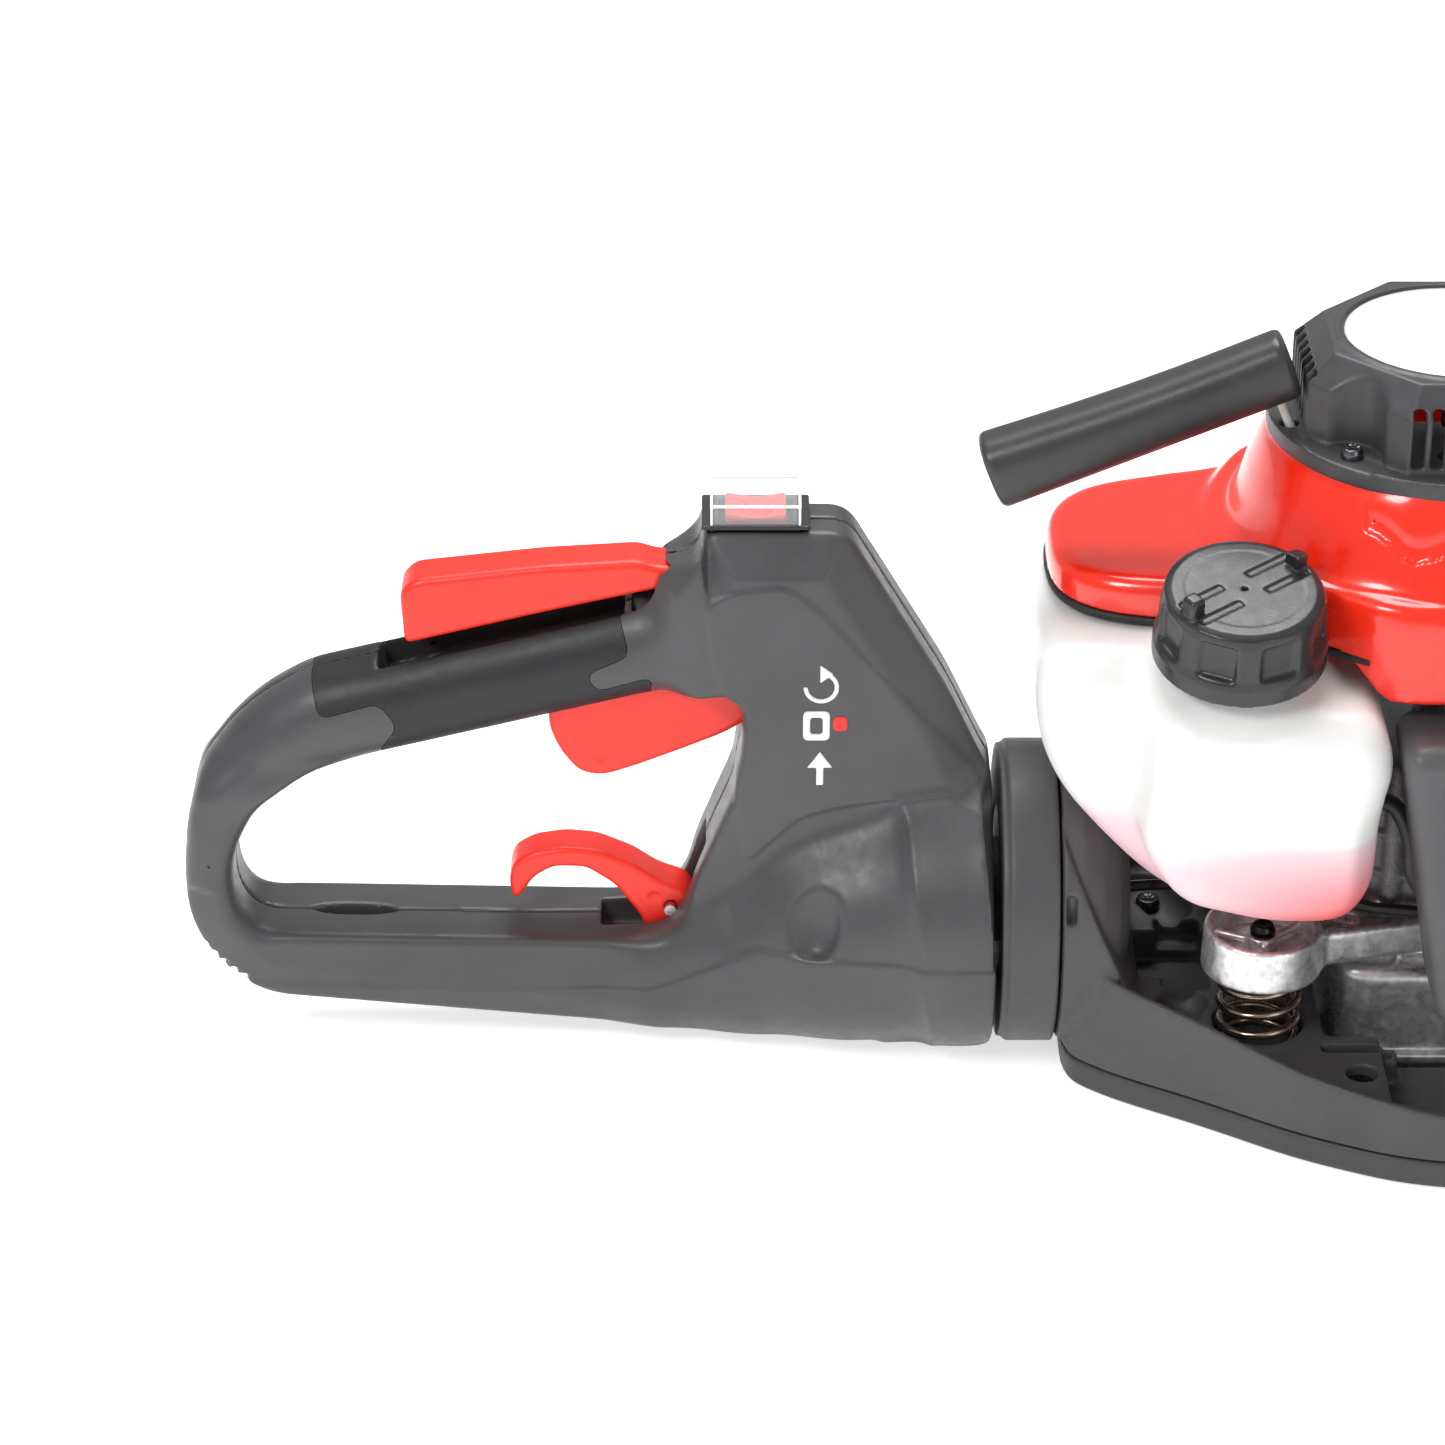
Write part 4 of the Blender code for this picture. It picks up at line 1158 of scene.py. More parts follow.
    def marks(self) -> tuple[Piece, Piece]:
        """The plain sign on the side panel: a turning arrow, a handle, an up arrow and a red stop mark.

        Returns:
            The white sign and the red mark.
        """
        white = Clay((-218, -23, 102), (-196, -19, 152), 0.3)
        ring = np.abs(np.sqrt((white.x + 207) ** 2 + (white.z - 142) ** 2) - 5.2) - 0.75
        gap = np.maximum(white.x + 207, 142 - white.z)
        white.add(np.maximum(np.maximum(ring, -gap), np.abs(white.y + 20.9) - 0.5))
        white.add(white.slab(((-207.4, 143.6), (-207.4, 150.4), (-203.0, 147.0)), Plane.SIDE, -21.4, -20.4,
                             0.1))
        white.add(white.slab(rounded(((-213, 122), (-204, 122), (-204, 133), (-213, 133)), 2), Plane.SIDE,
                             -21.4, -20.4, 0.1))
        white.cut(white.slab(rounded(((-210.6, 124.4), (-206.4, 124.4), (-206.4, 130.6), (-210.6, 130.6)),
                                     1.2),
                             Plane.SIDE, -23, -19, 0.1))
        white.add(white.slab(((-208.4, 105), (-206.0, 105), (-206.0, 112), (-208.4, 112)), Plane.SIDE,
                             -21.4, -20.4, 0.1))
        white.add(white.slab(((-211.4, 111.6), (-203.0, 111.6), (-207.2, 117.6)), Plane.SIDE, -21.4, -20.4,
                             0.1))
        red = Clay((-206, -23, 124), (-196, -19, 134), 0.3)
        red.add(red.slab(rounded(((-203, 125.5), (-198, 125.5), (-198, 131), (-203, 131)), 2), Plane.SIDE,
                         -21.4, -20.4, 0.1))
        return white.skin("panel_sign"), red.skin("panel_stop_mark")

    def press(self, clay: Clay, outline: Sequence[Point], depth: float) -> None:
        """Sinks the side inside an outline by a depth, or raises it if the depth is less than nought."""
        zone = clay.flat(rounded(outline, 5), Plane.SIDE)
        clay.field = clay.field + depth * (1 - ramp_up(zone, -0.5, 0.7))

    def slot(self, clay: Clay) -> None:
        """Cuts the slots of the levers, the well of the switch and the sockets of the seam screws.

        Args:
            clay: The grid that the shape is made in.
        """
        place = self.grip_place()
        clay.cut(clay.block((29, -9.7, 6), (114, 9.7, 40), 1.0, place), 1)
        clay.cut(clay.block((76, -8.4, -34), (128, 8.4, -2), 1.0, place), 1)
        clay.cut(clay.block((-282, -8.7, 34), (-243, 8.7, 75), 1.0), 1)
        clay.cut(clay.block((-244.5, -10.5, 181), (-213.5, 10.5, 220), 1.0), 0.6)
        clay.cut(clay.block((-270, -9.7, 160), (-237, 9.7, 181.2), 1.0), 0.6)
        sweeps = ((TRIGGER_SIDE, TRIGGER_PIVOT, TRIGGER_TRAVEL, 8.2),
                  (LOCKOUT_SIDE, LOCKOUT_PIVOT, LOCKOUT_TRAVEL, 10.0))
        for side, pivot, travel, half in sweeps:
            swept = np.minimum.reduce([
                clay.flat(turned_about(side, pivot, travel * k / 6), Plane.SIDE) for k in range(7)])
            clay.cut(clay.slab(swept - 0.9, Plane.SIDE, -half, half, 0.2), 0.3)
        clay.cut(clay.turned(((3.4, -9), (3.4, 9)),
                             Matrix.Translation((-367, 0, 44)) @ Matrix.Diagonal((4.2, 1, 1, 1))), 0.8)

    def sleeve_outline(self) -> list[Point]:
        """The sleeve's side view in the grip's axes, with its puzzle-shaped ends."""
        return [(6, 27), (6, 5), (27, 6), (31, -4), (21, -14), (18, -27), (113, -27), (118, -7),
                (99, -8), (97, 0), (113, 3), (112, 27)]

    def build(self) -> None:
        """Makes both halves and the sleeve."""
        right = self.body().skin("handle_right", 3)
        place = Matrix.Scale(MM, 4) @ self.grip_place() @ Matrix.Scale(1 / MM, 4)
        outline = rounded(self.sleeve_outline(), 4)
        wide = prism("sleeve_zone", outline, -30, 30, Plane.SIDE)
        wide.data.transform(place)
        sleeve = carve(copy_of(right, "sleeve_right"), [wide], "INTERSECT")
        groove = prism("sleeve_groove", outline, -30, 30, Plane.SIDE)
        grow = groove.modifiers.new("grow", "SOLIDIFY")
        grow.thickness = 0.35 * MM
        grow.offset = 1
        settle(groove)
        groove.data.transform(place)
        carve(right, [groove])
        left = mirror_of(right, "handle_left")
        other = mirror_of(sleeve, "sleeve_left")
        self.show(right, Body.HANDLE, self.plastic, "grey_plastic", ["handle_shell_right"])
        self.show(left, Body.HANDLE, self.plastic, "grey_plastic", ["handle_shell_left"])
        self.show(sleeve, Body.HANDLE, self.sleeve_rubber, "soft_grip", ["grip_sleeve"])
        sign, stop = self.marks()
        self.show(sign, Body.HANDLE, self.white_ink, "white_plastic")
        self.show(stop, Body.HANDLE, self.red_ink, "red_plastic")
        self.show(other, Body.HANDLE, self.sleeve_rubber, "soft_grip")


def copy_of(piece: Piece, name: str) -> Piece:
    """A second piece with its own copy of a mesh.

    Args:
        piece: The piece to copy.
        name: Name of the copy.

    Returns:
        The piece.
    """
    made = bpy.data.objects.new(name, piece.data.copy())
    bpy.context.scene.collection.objects.link(made)
    return made


def mirror_of(piece: Piece, name: str) -> Piece:
    """The mirror image of a piece across the middle plane.

    Args:
        piece: The piece to mirror.
        name: Name of the mirror image.

    Returns:
        The piece.
    """
    made = copy_of(piece, name)
    made.data.transform(Matrix.Scale(-1, 4, (0, 1, 0)))
    made.data.flip_normals()
    return made


# ------------------------------------------------------------------ levers and switch


@dataclass
class Lever(Assembly):
    """A moulded finger lever: a curved plate with rounded edges, optional ribs and a hole at its pivot."""

    name: str
    node: str
    body: Body
    outline: tuple[Point, ...]
    half_width: float
    pivot: Point
    soft: float = 2.6
    step: float = 0.5
    corner: float = 4.0
    hollows: tuple[tuple[Point, ...], ...] = ()
    ribs: tuple[tuple[float, float, float, float], ...] = ()
    marks: tuple[Point, ...] = ()

    def build(self, finish: Material) -> None:
        """Makes the lever in its finish.

        Args:
            finish: Material to give.
        """
        xs, zs = [p[0] for p in self.outline], [p[1] for p in self.outline]
        low = (min(xs) - 2, -self.half_width - 2, min(zs) - 2)
        high = (max(xs) + 2, self.half_width + 2, max(zs) + 2)
        clay = Clay(low, high, self.step)
        clay.add(clay.slab(rounded(self.outline, self.corner), Plane.SIDE, -self.half_width,
                           self.half_width, self.soft))
        for hollow in self.hollows:
            for side in (-1, 1):
                near, far = sorted((side * (self.half_width - 1.8), side * (self.half_width + 4)))
                clay.cut(clay.slab(rounded(hollow, 2), Plane.SIDE, near, far, 0.6), 0.8)
        for x1, z1, x2, z2 in self.ribs:
            clay.add(clay.rod((x1, -self.half_width + 0.6, z1), (x2, -self.half_width + 0.6, z2), 0.6), 0.6)
            clay.add(clay.rod((x1, self.half_width - 0.6, z1), (x2, self.half_width - 0.6, z2), 0.6), 0.6)
        for x, z in self.marks:
            for side in (-1, 1):
                ring = clay.rod((x, side * (self.half_width - 0.35), z),
                                (x, side * (self.half_width + 2), z), 2.1, flat_ends=True)
                clay.cut(ring, 0.2)
        x, z = self.pivot
        clay.cut(clay.rod((x, -30, z), (x, 30, z), 2.1), 0.3)
        piece = clay.skin(self.name, 2)
        self.show(piece, self.body, finish, "red_plastic", [self.node])


@dataclass
class Levers(Assembly):
    """The red trigger, the lockout lever and the hooked swivel lock lever, with their steel pins."""

    pivots: tuple[tuple[str, Point], ...] = (
        ("trigger_pin", (-227, 141)), ("lockout_pin", (-243, 177.5)), ("lock_lever_pin", (-258, 50)))
    red: Material = made_of(Moulded(
        "red_nylon", (0.90, 0.030, 0.014), 0.36, 0.18, 1300.0, 0.05, 0.0, 0.5))
    pin_steel: Material = made_of(Steel("pin_steel", (0.62, 0.62, 0.63), 0.3))

    def build(self) -> None:
        """Makes the three levers and dresses their pins."""
        Lever("trigger_finger", "throttle_trigger", Body.TRIGGER, TRIGGER_SIDE, 7.0, TRIGGER_PIVOT, 3.0,
              marks=((-281.5, 108.5),)).build(self.red)
        Lever("lockout_blade", "lockout_lever", Body.LOCKOUT, LOCKOUT_SIDE, 9.0, LOCKOUT_PIVOT, 2.6,
              corner=3.0).build(self.red)
        Lever("swivel_hook", "swivel_lock_lever", Body.LOCK_LEVER, (
            (-313.5, 60), (-312, 66.6), (-305, 71), (-294, 72.8), (-283, 71.6), (-271, 66.3), (-262, 60),
            (-252.6, 56.6),
            (-249.2, 51), (-251, 44), (-256, 38), (-257.6, 17.4), (-264.3, 17.4), (-265, 36), (-268.5, 46),
            (-277, 58), (-287, 65), (-298, 65.3), (-305, 61), (-309.2, 54), (-312.3, 52.4)),
            7.8, (-258, 50), 2.0, corner=3.0, marks=((-263.5, 53.5),),
            ribs=((-272, 61.5, -266, 50), (-267, 59, -261.5, 46), (-262, 57, -257.5, 42))).build(self.red)
        for name, (x, z) in self.pivots:
            pin = bar(name + "_short", mm(x, -11, z), mm(x, 11, z), 2.0)
            self.show(pin, Body.HANDLE, self.pin_steel, "steel", [name])
        self.dress(self.pin_steel, "swivel_lock_pin")


@dataclass
class StopSwitch(Assembly):
    """The stop switch on top of the handle: black frame, red rocker, a clear cover and painted highlights
    along the cover's edges.
    """

    low: tuple[float, float] = (-247.0, -12.8)
    high: tuple[float, float] = (-211.0, 12.8)
    frame_top: float = 197.5
    red: Material = made_of(Moulded(
        "rocker_red", (0.86, 0.028, 0.014), 0.3, 0.1, 1300.0, 0.04, 0.2))
    black: Material = made_of(Moulded(
        "switch_black", (0.022, 0.022, 0.024), 0.4, 0.2, 1300.0, 0.1))
    # Near-white glossy finish of the edge strips: painted highlight where the clear cover's edges catch the
    # light.
    bright: Material = made_of(Moulded(
        "painted_edge_highlight", (0.88, 0.88, 0.89), 0.12, 0.05, 1300.0, 0.02, 0.3))
    clear: Material = made_of(Clear("switch_window", (0.96, 0.97, 0.98), 0.05, 0.16))

    def build(self) -> None:
        """Makes the three pieces and the painted highlight strips along the cover's edges."""
        x1, y1 = self.low
        x2, y2 = self.high
        clay = Clay((x1 - 1, y1 - 1, 185), (x2 + 1, y2 + 1, 199), 0.4)
        clay.add(clay.block((x1, y1, 196), (x2, y2, self.frame_top), 0.7))
        clay.add(clay.block((x1 + 2.9, -10.1, 185.6), (x2 - 2.9, 10.1, 197.2), 0.5), 0.4)
        clay.cut(clay.block((-241.6, -9.1, 180), (-216.4, 9.1, 203), 0.5), 0.4)
        self.show(clay.skin("switch_bezel"), Body.HANDLE, self.black, "black_plastic", ["switch_frame"])
        rocker = Clay((-240, -9, 186), (-218, 9, 201), 0.35)
        rocker.add(rocker.block((-239.1, -6.9, 187.2), (-218.9, 6.9, 198.6), 1.0))
        rocker.add(rocker.block((-239.1, -8.4, 197.6), (-218.9, 8.4, 200.2), 0.8), 0.4)
        dish = np.sqrt((rocker.x + 229) ** 2 + (rocker.z - 222.5) ** 2) - 23.6
        rocker.cut(dish + 0 * rocker.y, 0.6)
        for x in (-236.6, -234.9, -233.2, -224.8, -223.1, -221.4):
            rocker.add(rocker.rod((x, -5.6, 199.7), (x, 5.6, 199.7), 0.5), 0.3)
        self.show(rocker.skin("stop_button"), Body.SWITCH, self.red, "red_plastic", ["stop_rocker"])
        lid = Clay((-245, -13, 196), (-213, 13, 206), 0.4)
        lid.add(lid.block((-244, -12, 196.8), (-214, 12, 204.6), 1.4))
        lid.cut(lid.block((-242.7, -10.7, 190), (-215.3, 10.7, 203.4), 0.8), 0.2)
        self.show(lid.skin("switch_window"), Body.HANDLE, self.clear, "clear_plastic", ["switch_cover"])
        # Thin near-white rods round the clear cover's edges: painted highlights where the edges catch the
        # light.
        edges = Clay((-245, -13, 196), (-213, 13, 206), 0.35)
        for y in (-11.6, 11.6):
            edges.add(edges.rod((-243.4, y, 204.2), (-214.6, y, 204.2), 0.55), 0.2)
            for x in (-243.6, -214.4):
                edges.add(edges.rod((x, y, 197.4), (x, y, 204.2), 0.5), 0.2)
        for x in (-243.6, -214.4):
            edges.add(edges.rod((x, -11.6, 204.2), (x, 11.6, 204.2), 0.55), 0.2)
        self.show(edges.skin("window_edge_highlights"), Body.HANDLE, self.bright, "clear_plastic")


# ------------------------------------------------------------------ base


def pan_screw(name: str, x: float, y: float, z: float, radius: float = 4.4) -> Piece:
    """A pan-head screw with a six-lobed socket, seen from above.

    Args:
        name: Name of the piece.
        x: Place along the machine, in millimetres.
        y: Place across it, in millimetres.
        z: Height, in millimetres.
        radius: Radius in millimetres.

    Returns:
        The piece.
    """
    clay = Clay((x - 6, y - 6, z - 3), (x + 6, y + 6, z + 4.5), 0.25)
    place = Matrix.Translation((x, y, z))
    clay.add(clay.turned(((0.1, -2), (radius, -2), (radius, 0.8), (radius * 0.86, 2.4), (0.1, 3.0)), place))
    for k in range(3):
        a = math.pi * k / 3
        dx, dy = 1.7 * math.cos(a), 1.7 * math.sin(a)
        clay.cut(clay.rod((x - dx, y - dy, z + 3.4), (x + dx, y + dy, z + 3.4), 1.3), 0.3)
    return clay.skin(name, 1)


@dataclass
class Base(Assembly):
    """The swivel collar, the tray under the engine, its bottom skirt and what shows inside it."""

    side: tuple[Point, ...] = (
        (-124, -40), (-112, -51), (-100, -59), (-81, -70), (-48, -92), (-15, -107), (20, -112), (60, -110),
        (92, -99), (112, -78), (118, -50))
    wall_top: tuple[Point, ...] = ((-130, 49), (-118, 48.5), (-101, 44.5), (-48, 34), (0, 28), (124, 28))
    wall: float = 3.0
    floor: float = 14.0
    swivel_z: float = 52.5
    collar_radius: float = 52.4
    seats: tuple[tuple[float, float], ...] = ((-58, -46), (-58, 46), (78, -80), (78, 80))
    plastic: Material = made_of(Moulded(
        "base_nylon", (0.060, 0.061, 0.064), 0.5, 0.35, 1100.0, 0.12))
    grained: Material = made_of(Moulded(
        "grained_nylon", (0.085, 0.086, 0.090), 0.62, 0.8, 700.0, 0.2))
    skirt_black: Material = made_of(Moulded(
        "skirt_nylon", (0.050, 0.051, 0.054), 0.5, 0.35, 1100.0, 0.12))
    ring_steel: Material = made_of(Steel("ring_steel", (0.5, 0.5, 0.52), 0.35))
    screw_black: Material = made_of(Steel("black_screw", (0.05, 0.05, 0.052), 0.32))

    def plan(self) -> list[Point]:
        """The base's outline from above."""
        return rounded([*self.side, *[(x, -y) for x, y in reversed(self.side)]], 14)

    def collar(self) -> Piece:
        """The round collar, with a shallow groove at its rear edge.

        Returns:
            The piece.
        """
        clay = Clay((-147, -54, -1), (-125, 54, 106), 0.8)
        place = Matrix.Translation((-145.6, 0, self.swivel_z)) @ Matrix.Rotation(math.pi / 2, 4, "Y")
        big, groove = self.collar_radius, self.collar_radius - 1.6
        clay.add(clay.turned(((groove, 0.0), (groove, 1.6), (big, 3.0), (big, 19.2)), place))
        clay.cut(clay.rod((-160, 0, self.swivel_z), (-120, 0, self.swivel_z), 29, flat_ends=True), 0.6)
        return clay.skin("swivel_collar_ring", 2)

    def tray(self) -> Piece:
        """The open tray with its neck, seats, bosses and floor openings.

        Returns:
            The piece.
        """
        clay = Clay((-131, -114, 9), (121, 114, 105), 0.9)
        rim = clay.flat(self.plan(), Plane.TOP)
        clay.add(clay.slab(rim, Plane.TOP, 10.4, 60, 1.6))
        clay.cut(clay.slab(rim + self.wall, Plane.TOP, self.floor, 90, 2.0), 1.5)
        above = [*self.wall_top, (124, 99), (-130, 99)]
        clay.cut(clay.slab(above, Plane.SIDE, -130, 130, 0.4), 1.0)
        deck = np.maximum(rim + 2.0, np.maximum(clay.x + 18, 16 - np.abs(clay.y)))
        clay.add(np.maximum(deck + 0 * clay.z, clay.z - 26.5), 1.5)
        for x, y in self.seats:
            clay.add(clay.rod((x, y, 10), (x, y, 27.0 if x < 0 else 22.6), 18.4, flat_ends=True), 1.5)
            clay.cut(clay.rod((x, y, 17.5), (x, y, 40), 15.2, flat_ends=True), 0.6)
        for side in (-1, 1):
            clay.cut(clay.rod((-90, 48 * side, 27), (-82, 32 * side, 27), 8.5), 1.0)
            clay.cut(clay.block((-88, 20 * side - 4, 18), (-72, 20 * side + 4, 40), 2.0), 1.0)
        clay.add(clay.rod((-26, -78, 11), (-26, -78, 23), 8.5, 7.6, flat_ends=True), 3)
        clay.cut(clay.rod((-26, -78, 19.5), (-26, -78, 40), 5.4, flat_ends=True), 0.6)
        clay.add(clay.block((-40, -66, 11), (-12, -58, 24), 2.0), 3)
        clay.cut(clay.block((-36, -54, 0), (130, 54, 60), 3.0), 1.5)
        clay.cut(clay.block((-38, -64.5, 17), (-14, -59.5, 40), 1.0), 0.5)
        clay.cut(clay.block((-8, -96, 15), (14, -78, 40), 1.0), 0.5)
        self.add_neck(clay)
        clay.cut(clay.rod((-140, 0, self.swivel_z), (-112, 0, self.swivel_z), 29, flat_ends=True), 0.6)
        clay.cut(clay.rod((-140, 0, self.swivel_z), (-80, 0, self.swivel_z), 8, flat_ends=True), 0.6)
        clay.keep(-clay.z + 10.4 + 0 * clay.x + 0 * clay.y)
        return clay.skin("tray", 2)

    def add_neck(self, clay: Clay) -> None:
        """Runs the collar into the tray: a round shell cut off at a slant, with a hollow behind the cut.

        Args:
            clay: The grid that the shape is made in.
        """
        z = self.swivel_z
        neck = clay.rod((-125.4, 0, z), (-96, 0, z), 51.2, 50.0, True)
        slant = (clay.x + 130.5 - (104 - clay.z) * 0.44) * 0.91
        neck = np.maximum(neck, slant)
        inner = clay.turned(
            ((0.1, -125.4), (49.4, -125.4), (48.0, -118), (43.4, -111), (37, -105), (27, -101), (0.1, -101)),
            Matrix.Translation((0, 0, z)) @ Matrix.Rotation(math.pi / 2, 4, "Y"))
        below = 10.4 - clay.z
        clay.add(np.maximum(neck, below), 2.0)
        clay.add(np.maximum(inner, below), 1.5)
        clay.cut(clay.block((-124.2, -60, 66), (-121.0, -44, 75.5), 0.5), 0.4)

    def skirt(self) -> Piece:
        """The bottom skirt, a little inside the tray so that the joint shows as a line.

        Returns:
            The piece.
        """
        clay = Clay((-128, -114, -1), (121, 114, 12), 0.8)
        rim = clay.flat(self.plan(), Plane.TOP)
        clay.add(clay.slab(rim + 0.5, Plane.TOP, 0.05, 9.9, 1.4))
        clay.cut(clay.slab(rim + 3.2, Plane.TOP, 2.6, 20, 1.0), 0.6)
        return clay.skin("bottom_skirt", 2)

    def build(self) -> None:
        """Makes the base's pieces."""
        self.show(self.collar(), Body.BASE, self.plastic, "grey_plastic", ["swivel_collar"])
        tray = self.show(self.tray(), Body.BASE, self.plastic, "grey_plastic", ["base_tray"])
        tray.data.materials.append(self.grained)
        for face in tray.data.polygons:
            x, y, z = face.center / MM
            edge = -130.5 + (104 - z) * 0.44
            if edge + 0.5 < x < -98 and z > 46 and math.hypot(y, z - self.swivel_z) > 20:
                face.material_index = 1
        self.show(self.skirt(), Body.BASE, self.skirt_black, "grey_plastic", ["base_skirt"])
        for k, (x, y, z) in enumerate(((-88, -45, 20.5), (-26, -78, 21), (-88, 45, 20.5), (-26, 78, 16))):
            self.show(pan_screw(f"tray_screw_{k + 1}", x, y, z), Body.BASE, self.screw_black, "steel")
        self.dress(self.ring_steel, "lock_ring", soften=0.4)


@dataclass
class Springs(Assembly):
    """The four vibration springs: bronze-coloured wire with closed ends, stretched between tray and
    carrier.
    """

    radius: float = 13.2
    wire: float = 1.5
    low: float = 18.8
    high: float = 48.2
    turns: float = 4.6
    steps: int = 28
    bronze: Material = made_of(Steel(
        "spring_wire", (0.42, 0.34, 0.28), 0.22, (1.0, 1.0, 1.0), 300.0))

    def build(self) -> None:
        """Makes each spring where the plain one stands."""
        for corner in ("rear_right", "rear_left", "front_right", "front_left"):
            low, high = (Vector(point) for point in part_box(f"spring_{corner}"))
            middle = (low + high) / 2
            route = []
            count = int(self.turns * self.steps)
            for k in range(count + 1):
                share = k / count
                rise = min(max((share - 0.12) / 0.76, 0), 1)
                angle = 2 * math.pi * self.turns * share
                height = self.low + self.wire * 2.1 * min(share / 0.12, 1) * 0.5
                height += (self.high - self.low - 2 * self.wire) * rise
                spot = mm(self.radius * math.cos(angle), self.radius * math.sin(angle), height)
                route.append(spot + Vector((middle.x, middle.y, 0)))
            spring = wire(f"coil_{corner}", route, self.wire, 14)
            spring.data.materials.append(self.bronze)
            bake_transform(spring)
            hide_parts(f"spring_{corner}")
            log.info("coil_%s stretches from the tray to the carrier", corner)


# ------------------------------------------------------------------ carrier and engine block


@dataclass
class Carrier(Assembly):
    """The cast carrier: gear box, clutch housing and an arm with a pocketed foot over each spring."""

    step: float = 0.8
    rim: tuple[Point, ...] = ((-33, -36), (-25, -44), (86, -44), (95, -36), (95, 36), (86, 44), (-25, 44),
                              (-33, 36))
    feet: tuple[tuple[float, float], ...] = ((-58, -46), (-58, 46), (78, -80), (78, 80))
    foot_radius: float = 20.4
    aluminium: Material = made_of(Cast("cast_aluminium", (0.86, 0.86, 0.87), 0.36, 0.15))
    rough: Material = made_of(Cast(
        "blasted_casting", (0.30, 0.30, 0.31), 0.6, 1.0, 900.0, 0.55))
    black_steel: Material = made_of(Steel("socket_screw", (0.04, 0.04, 0.042), 0.3))
    plate_steel: Material = made_of(Steel("plate_steel", (0.55, 0.55, 0.56), 0.3))

    def casting(self) -> Piece:
        """The carrier as one casting with soft fillets.

        Returns:
            The piece.
        """
        clay = Clay((-80, -102, 9), (100, 102, 68), self.step)
        rim = clay.flat(rounded(self.rim, 10), Plane.TOP)
        clay.add(clay.slab(rim, Plane.TOP, 10, 46, 5.0))
        clay.add(clay.slab(rim - 3.0, Plane.TOP, 10, 14, 1.0), 2)
        clay.add(clay.rod((0, 0, 44), (0, 0, 66), 34.5, 34, True), 5)
        for k in range(12):
            a = math.pi * (k + 0.5) / 6
            x, y = math.cos(a), math.sin(a)
            clay.add(clay.rod((30 * x, 30 * y, 62), (40 * x, 40 * y, 46), 1.3), 2)
        for x, y in self.feet:
            self.add_arm(clay, x, y)
        clay.cut(clay.slab(rim + 4.2, Plane.TOP, 0, 41.7, 2.0))
        clay.cut(clay.rod((0, 0, 46.5), (0, 0, 80), 29.5, flat_ends=True), 0.8)
        clay.cut(clay.rod((0, 0, 35), (0, 0, 50), 8, flat_ends=True))
        clay.cut(clay.block((80, -31, 0), (110, 31, 23), 1.0), 0.5)
        return clay.skin("carrier", 2)

    def add_arm(self, clay: Clay, x: float, y: float) -> None:
        """An arm with a sunk web, ending in a round foot with a hub and three ribs.

        Args:
            clay: The grid that the shape is made in.
            x: Place along the machine, in millimetres.
            y: Place across it, in millimetres.
        """
        size = math.hypot(x, y)
        ux, uy = x / size, y / size
        start = (x - ux * (size - 30), y - uy * (size - 30))
        if x < 0:
            inner = (4, math.copysign(30, y))
            clay.add(clay.slab(((x, y - 9), (x, y + 9), (inner[0], inner[1] + 9), (inner[0], inner[1] - 9)),
                               Plane.TOP,
                               50.5, 63.5, 1.6), 4)
            for share in (0.42, 0.72):
                spot = (x + (inner[0] - x) * share, y + (inner[1] - y) * share)
                clay.cut(clay.block((spot[0] - 6.5, spot[1] - 4.5, 58.5),
                                    (spot[0] + 6.5, spot[1] + 4.5, 70), 1.5), 0.8)
        clay.add(clay.rod((*start, 55), (x, y, 55), 10, 8), 4)
        clay.cut(clay.rod((start[0] + ux * 8, start[1] + uy * 8, 66), (x - ux * 23, y - uy * 23, 66), 5.6),
                 1.2)
        top, radius = 65.0, self.foot_radius
        clay.add(clay.rod((x, y, 49.2), (x, y, top), radius, radius - 0.6, True), 3)
        clay.cut(clay.rod((x, y, 56), (x, y, 80), radius - 3.6, flat_ends=True), 1.4)
        clay.add(clay.rod((x, y, 52), (x, y, 61.5), 5.6, 5.0, True), 1.2)
        for k in range(3):
            a = math.atan2(-y, -x) + 2 * math.pi * k / 3
            tip = (x + (radius - 2) * math.cos(a), y + (radius - 2) * math.sin(a))
            clay.add(clay.rod((x, y, 58), (*tip, 59), 1.4, 1.5), 1.0)
        clay.cut(clay.rod((x, y, 59.5), (x, y, 80), 3.0, flat_ends=True), 0.4)

    def crankcase(self) -> Piece:
        """The round crankcase with webs, its split line and bolt bosses.

        Returns:
            The piece.
        """
        clay = Clay((-52, -46, 65), (44, 46, 124), 0.9)
        clay.add(clay.rod((0, 0, 66.4), (0, 0, 122), 37.5, 36, True), 2)
        clay.add(clay.block((-46, -30, 70), (-20, 30, 118), 6), 6)
        clay.add(clay.block((8, -27, 67.5), (37.9, 27, 118.5), 2), 4)
        for k in range(8):
            a = math.pi * (k + 0.5) / 4
            x, y = 37 * math.cos(a), 37 * math.sin(a)
            clay.add(clay.rod((x, y, 70), (x, y, 118), 3.4, 3.0), 2.0)
        for height in (78, 93, 108):
            ring = np.maximum(np.sqrt(clay.x**2 + clay.y**2) - 39, np.abs(clay.z - height) - 0.9)
            clay.add(ring + 0 * clay.z, 1.5)
        clay.keep(clay.x - 37.9 + 0 * clay.y + 0 * clay.z)
        clay.cut(clay.rod((0, 0, 71), (0, 0, 115), 27.5, flat_ends=True))
        clay.cut(clay.rod((0, 0, 50), (0, 0, 130), 5.6, flat_ends=True))
        clay.cut(clay.rod((0, 0, 93), (60, 0, 93), 16, flat_ends=True))
        return clay.skin("engine_block", 2)

